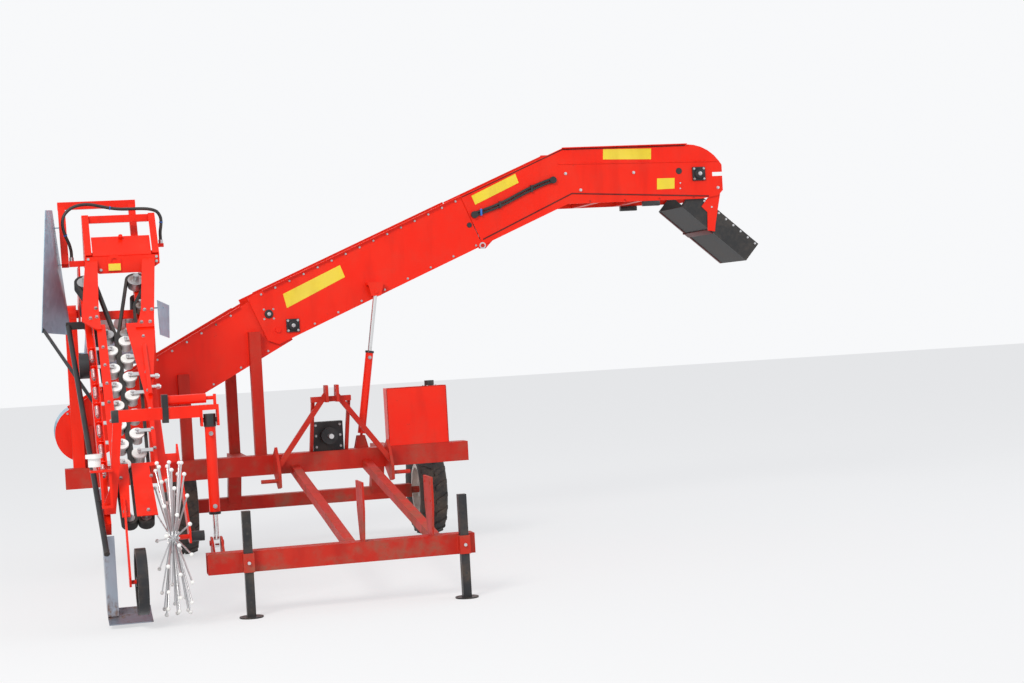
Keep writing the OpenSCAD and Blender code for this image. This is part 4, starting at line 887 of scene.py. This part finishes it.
def flange_bearing(name, body, place, out, size):
    """A bearing whose plate is size wide; what stands on the plate keeps its share of that."""
    bm = bmesh.new()
    upright = Matrix((X, Z, out)).transposed().to_4x4()
    on_plate = place + out * (BEARING_PLATE / 1000)
    add_block(bm, (-size / 2, -size / 2, 0), (size / 2, size / 2, BEARING_PLATE), 3,
              Matrix.Translation(place) @ upright)
    add_disc(bm, on_plate, out, size * 0.36, HOUSING, sides=32, top=size * 0.33, edge=3)
    finish_piece(name, bm, dark_paint, body, 40)
    bm = bmesh.new()
    add_disc(bm, on_plate + out * (HOUSING / 1000), out, size * 0.15, SHAFT_END, sides=20, edge=1.5)
    finish_piece(name + "_shaft", bm, worn_steel, body, 40)
    bolts(name + "_bolts", body, circle(on_plate, X, Z, size * 0.53, 4, math.pi / 4), out, 15)


for side, y, out in BOOM_SIDES:
    flange_bearing("tip_bearing_" + side, "boom_tip", at(NOSE_SHAFT_X, y, NOSE_SHAFT_Z), out, 104)
    flange_bearing("foot_bearing_" + side, "boom", on_boom(*FOOT_SHAFT, y), out, 96)
for side, y, out in TROUGH_SIDES:
    flange_bearing("trough_bearing_" + side, "chassis", on_trough(*LOW_SHAFT, y), out, 100)
    flange_bearing("trough_drive_" + side, "chassis", on_trough(*DRIVE_SHAFT, y), out, 92)

# %% [markdown]
# The boom folds on a pin through each side, which shows as a washer and a domed head. Black discs stop
# two spare holes, two black pads sit under the tip, and a blue strap holds its hoses.

# %% Fold pins, plugs and pads
PIN_WASHER = 4
TIP_HOLE, BOOM_HOLE = (2831, BOOM_NEAR, 2703), (1164, BOOM_NEAR, 2359)
HOSE_STRAP = ((1248, 374, 2424), (1262, 400, 2475))
PAD_X, PAD_Z = (2530, 2665), (2447, 2484)


def plugs(name, body, places, radius, height=4.0):
    bm = bmesh.new()
    for place in places:
        add_disc(bm, place, -Y, radius, height, top=radius * 0.86)
    finish_piece(name, bm, black_plastic, body, 40)


for side, y, out in BOOM_SIDES:
    bm = bmesh.new()
    add_disc(bm, at(FOLD_X, y, FOLD_Z), out, 25, PIN_WASHER, sides=32, top=24)
    finish_piece("fold_washer_" + side, bm, bright_steel, "boom_tip", 40)
    bm = bmesh.new()
    add_disc(bm, at(FOLD_X, y, FOLD_Z) + out * (PIN_WASHER / 1000), out, 15, 9, top=13)
    finish_piece("fold_pin_head_" + side, bm, red_worn_shaded, "boom_tip", 40)
plugs("tip_plugs", "boom_tip", [at(*TIP_HOLE)], 25)
plugs("boom_plugs", "boom", [at(*BOOM_HOLE)], 20)
bm = bmesh.new()
for low_y, high_y in ((398, 440), (960, 1002)):
    add_block(bm, (PAD_X[0], low_y, PAD_Z[0]), (PAD_X[1], high_y, PAD_Z[1]), 3)
finish_piece("tip_pads", bm, black_plastic, "boom_tip", 40)
bm = bmesh.new()
add_block(bm, *HOSE_STRAP, 3)
finish_piece("tip_hose_tie", bm, blue_tie, "boom_tip", 40)

# %% [markdown]
# The discharge chute hangs from the boom's nose. Bolts line the top edge of both walls, a dark strip
# stiffens the far edge of its floor, and a flat bar under it joins the hangers.

# %% Bolts and strips on the chute
HINGE_X, HINGE_Z, CHUTE_ANGLE, CHUTE_DROP = 3140, 2565, -41, 210
CHUTE_SIDES = (("near", 419, -Y), ("far", 981, Y))
CHUTE_ROWS = ((-20, 505, 64, 8),)
# low and high corners, along the chute, across it and square to it
STRIPS = (((-120, 944, -88), (526, 978, -84)), ((143, 424, -93), (189, 976, -84)))

on_chute = on_slope(HINGE_X, HINGE_Z, CHUTE_ANGLE, CHUTE_DROP)
for side, y, out in CHUTE_SIDES:
    bolts("chute_bolts_" + side, "chute", rows_on(on_chute, y, CHUTE_ROWS), out, 14, bright_steel)
down_chute = Vector((math.cos(math.radians(CHUTE_ANGLE)), 0, math.sin(math.radians(CHUTE_ANGLE))))
chute_turn = Matrix((down_chute, Y, down_chute.cross(Y))).transposed().to_4x4()
bm = bmesh.new()
for low, high in STRIPS:
    add_block(bm, low, high, 1.2, Matrix.Translation(on_chute(0, 0, 0)) @ chute_turn)
finish_piece("chute_strips", bm, maroon_paint, "chute", 40)

# %% [markdown]
# A cylinder ends in a gland, the ring that guides its rod, and oil comes in through two ports near
# its ends. Each port is a welded boss with a six-sided fitting screwed in.

# %% Glands and ports on the cylinders
LIFT_X, LIFT_Y, LIFT_RADIUS, LIFT_GLAND_Z, LIFT_PORTS_Z = -1050, -2010, 28, 606, (640, 1070)
# the boom's cylinder: its lower eye, and where its rod's eye is
RAM_X, RAM_Y, RAM_Z = 250, 350, 830
ROD_EYE_X, ROD_EYE_Z = 420, 1900
RAM_SURFACE, RAM_GLAND, RAM_PORTS = -24, 634, (90, 600)
RAM_LEAN = math.atan2(ROD_EYE_X - RAM_X, ROD_EYE_Z - RAM_Z)
PORT = ((13, 14, 16, 13), (11, 12, 6, 11), (7, 7, 12, 6))


def on_ram(length, y_off=0):
    """A place along the boom's cylinder, from its lower eye."""
    return at(RAM_X + length * math.sin(RAM_LEAN), RAM_Y + y_off, RAM_Z + length * math.cos(RAM_LEAN))


def cylinder_ends(name, body, gland, along, radius, ports):
    """The gland at the open end of a barrel, and a port at each place on its near side."""
    bm = bmesh.new()
    add_disc(bm, gland, along, radius, 16, sides=28, top=radius * 0.94, edge=1.5)
    finish_piece(name + "_gland", bm, dark_paint, body, 40)
    bm = bmesh.new()
    for place in ports:
        add_stack(bm, place, -Y, PORT)
    finish_piece(name + "_ports", bm, worn_steel, body, 40)
    print(name, len(ports), "ports")


cylinder_ends("lift_cylinder", "lift_barrel", at(LIFT_X, LIFT_Y, LIFT_GLAND_Z), -Z, 37,
              [at(LIFT_X, LIFT_Y - LIFT_RADIUS, z) for z in LIFT_PORTS_Z])
cylinder_ends("boom_cylinder", "boom_barrel", on_ram(RAM_GLAND), (on_ram(2) - on_ram(1)).normalized(), 33,
              [on_ram(length, RAM_SURFACE) for length in RAM_PORTS])

# %% [markdown]
# A welded joint shows as a bead in the corner where two plates meet. The same sweep draws it, with a
# radius that leaves a quarter of the bar in view. The tank is welded along its front edges too.

# %% Weld beads
BEAM_TOP = 770
TANK_LEFT, TANK_RIGHT, TANK_FRONT, TANK_BACK, TANK_TOP = 440, 880, 240, 380, 1190
POSTS_X, POST_HALF, POST_FRONT, BEAM_BACK = (-1000, -480), 40, 330, 370
MAST_WIDE, MAST_FRONT, MAST_BACK = 80, 250, 350
STANDS, SLEEVE_HALF, SLEEVE_Y, SLEEVE_Z = (("right", -900), ("left", 385)), 32, -2260, (265, 375)


def beads(name, runs, radius=5):
    bm = bmesh.new()
    for run in runs:
        add_tube(bm, [at(*p) for p in run], radius, 6)
    finish_piece(name, bm, red_worn_shaded, "chassis", 60)
    print(name, len(runs), "runs")


def three_sides(x0, x1, front, back):
    """A run round the front and both sides of what stands on the main beam."""
    return [(x0, back, BEAM_TOP), (x0, front, BEAM_TOP), (x1, front, BEAM_TOP), (x1, back, BEAM_TOP)]


mast = [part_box("picker_mast")[i].x * 1000 + MID_X for i in (0, 1)]
post_runs = [three_sides(x - POST_HALF, x + POST_HALF, POST_FRONT, BEAM_BACK) for x in POSTS_X]
mast_runs = [[(x, MAST_FRONT, BEAM_TOP), (x + MAST_WIDE, MAST_FRONT, BEAM_TOP), (x + MAST_WIDE, MAST_BACK, BEAM_TOP),
              (x, MAST_BACK, BEAM_TOP), (x, MAST_FRONT, BEAM_TOP)] for x in (mast[0], mast[1] - MAST_WIDE)]
tank_runs = [three_sides(TANK_LEFT, TANK_RIGHT, TANK_FRONT, TANK_BACK)]
sleeve_runs = [[(x + half, SLEEVE_Y, z) for z in SLEEVE_Z] for side, x in STANDS
               for half in (-SLEEVE_HALF, SLEEVE_HALF)]
beads("frame_beads", post_runs + mast_runs + tank_runs + sleeve_runs)
beads("tank_seams", [[(x, TANK_FRONT, BEAM_TOP + 6), (x, TANK_FRONT, TANK_TOP - 4)] for x in (TANK_LEFT, TANK_RIGHT)]
      + [[(TANK_LEFT, TANK_FRONT, TANK_TOP), (TANK_RIGHT, TANK_FRONT, TANK_TOP)]], 3)

# %% [markdown]
# The gearbox is a casting with a bolted cover on both faces, and a ring of small bolts holds the tank's filler. Each
# parking stand has a row of holes, drawn as thin black discs of painted shade, and a pin through its sleeve holds it
# at one.

# %% Housing bolts and the stands' pins
GEARBOX_FRONT, GEARBOX_BACK = 275, 360
GEARBOX_HOLES = [(x, z) for x in (-88, 88) for z in (800, 880, 956)]
CAP_X, CAP_Y, CAP_CIRCLE = 770, 300, 48
STAND_FACE, STAND_HOLES_Z, HOLE_SHADE_THICKNESS = -2317, (90, 150, 210, 430, 490, 550), 0.25
PIN_Y, PIN_Z = -2324, 320

bolts("gearbox_bolts_front", "chassis", [at(x, GEARBOX_FRONT, z) for x, z in GEARBOX_HOLES], -Y, 15)
bolts("gearbox_bolts_back", "chassis", [at(x, GEARBOX_BACK, z) for x, z in GEARBOX_HOLES], Y, 15)
bolts("tank_cap_bolts", "chassis", circle(at(CAP_X, CAP_Y, TANK_TOP), X, Y, CAP_CIRCLE, 6), Z, 9)
for side, x in STANDS:
    # Each hole is a flat black disc of painted shade where the hole's dark inside would be.
    plugs("stand_hole_shade_" + side, "stand_" + side, [at(x, STAND_FACE, z) for z in STAND_HOLES_Z], 8, HOLE_SHADE_THICKNESS)
    bm = bmesh.new()
    add_disc(bm, at(x, PIN_Y, PIN_Z), -Y, 11, 12, sides=16, top=10, edge=1)
    finish_piece("stand_pin_" + side, bm, bright_steel, "chassis", 40)

# %% [markdown]
# One hydraulic hose arches free over the head between two upright fittings. Its route is the one the
# solids use.

# %% The free hose
HOSE_RADIUS, HOSE_SIDES = 11, 12
ROUTE = [(-1740, -70, 2230), (-1740, -70, 2270), (-1750, -82, 2318), (-1768, -95, 2364), (-1783, -105, 2412),
         (-1788, -110, 2462), (-1776, -109, 2512), (-1744, -105, 2550), (-1700, -100, 2574), (-1650, -96, 2584),
         (-1600, -93, 2584), (-1550, -91, 2574), (-1500, -90, 2562), (-1450, -90, 2552), (-1400, -89, 2546),
         (-1350, -87, 2544), (-1300, -85, 2544), (-1250, -83, 2543), (-1200, -81, 2538), (-1152, -79, 2520),
         (-1128, -77, 2478), (-1128, -76, 2428), (-1136, -75, 2378), (-1136, -75, 2325)]


def rounded(points, steps=3):
    """Fills each stretch of a route with points of a smooth curve through all of them."""
    result = []
    for i in range(len(points) - 1):
        a, b = points[max(i - 1, 0)], points[i]
        c, d = points[i + 1], points[min(i + 2, len(points) - 1)]
        for k in range(steps):
            t = k / steps
            bend, twist = a * 2 - b * 5 + c * 4 - d, b * 3 - a - c * 3 + d
            result.append(b + ((c - a) * t + bend * t * t + twist * t ** 3) / 2)
    return result + [points[-1]]


centres = rounded([at(*p) for p in ROUTE])
bm = bmesh.new()
add_tube(bm, centres, HOSE_RADIUS, HOSE_SIDES)
free_hose = finish_piece("free_hose", bm, hose_rubber, "picker", 60)
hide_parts("head_hose")
hose_length = sum((b - a).length for a, b in zip(centres, centres[1:]))

# %% [markdown]
# Blue straps hold the hose in line. A strap is two thin rings side by side, with a small square lock.

# %% Straps and the cord's facts
TIED_AT = (10, 38, 62)
STRAP_RADIUS, STRAP_WIRE, STRAP_HALF = 12.4, 1.6, 2


def hose_strap(name, place, along):
    bm = bmesh.new()
    side = along.orthogonal().normalized()
    loop = circle(place, side, along.cross(side), STRAP_RADIUS, 20)
    for shift in (-STRAP_HALF, STRAP_HALF):
        add_tube(bm, [p + along * shift / 1000 for p in loop + loop[:1]], STRAP_WIRE, 6)
    add_disc(bm, place + side * STRAP_RADIUS / 1000, side, 4, 5, 4)
    return finish_piece(name, bm, blue_tie, "picker")


hose_ties = [hose_strap("hose_tie_%d" % k, centres[i], (centres[i + 1] - centres[i - 1]).normalized())
             for k, i in enumerate(TIED_AT)]
tuple(at(*ROUTE[0]))
print("hose length", round(hose_length, 3), "m")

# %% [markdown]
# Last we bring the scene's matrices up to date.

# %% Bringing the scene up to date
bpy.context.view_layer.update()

# %% [markdown]
# The floor is a wide pale sheet. It glows a little for the rays that are seen, so it shows as plain white but still
# catches the machine's shadow.

# %% Floor
FLOOR_HALF, FLOOR_GLOW = 40, 0.62
FLOOR_GREY, GLOW_COLOUR = (0.8, 0.8, 0.8, 1), (0.94, 0.945, 0.955, 1)

bm = bmesh.new()
bmesh.ops.create_grid(bm, x_segments=1, y_segments=1, size=FLOOR_HALF)
floor_mesh = bpy.data.meshes.new("floor")
bm.to_mesh(floor_mesh)
bm.free()
floor = bpy.data.objects.new("floor", floor_mesh)
scene.collection.objects.link(floor)
ground = Finish("ground", Roughness=0.9, Base_Color=FLOOR_GREY, Specular_IOR_Level=0.0)
glow = ground.node("ShaderNodeEmission", None, {"Color": GLOW_COLOUR})
surface = ground.node("ShaderNodeMixShader", None,
                      {"Fac": ground.seen() * FLOOR_GLOW, 1: Value(ground, ground.shader.outputs[0]), 2: glow})
ground.feed(ground.tree.nodes["Material Output"].inputs["Surface"], surface)
floor_mesh.materials.append(ground.material)
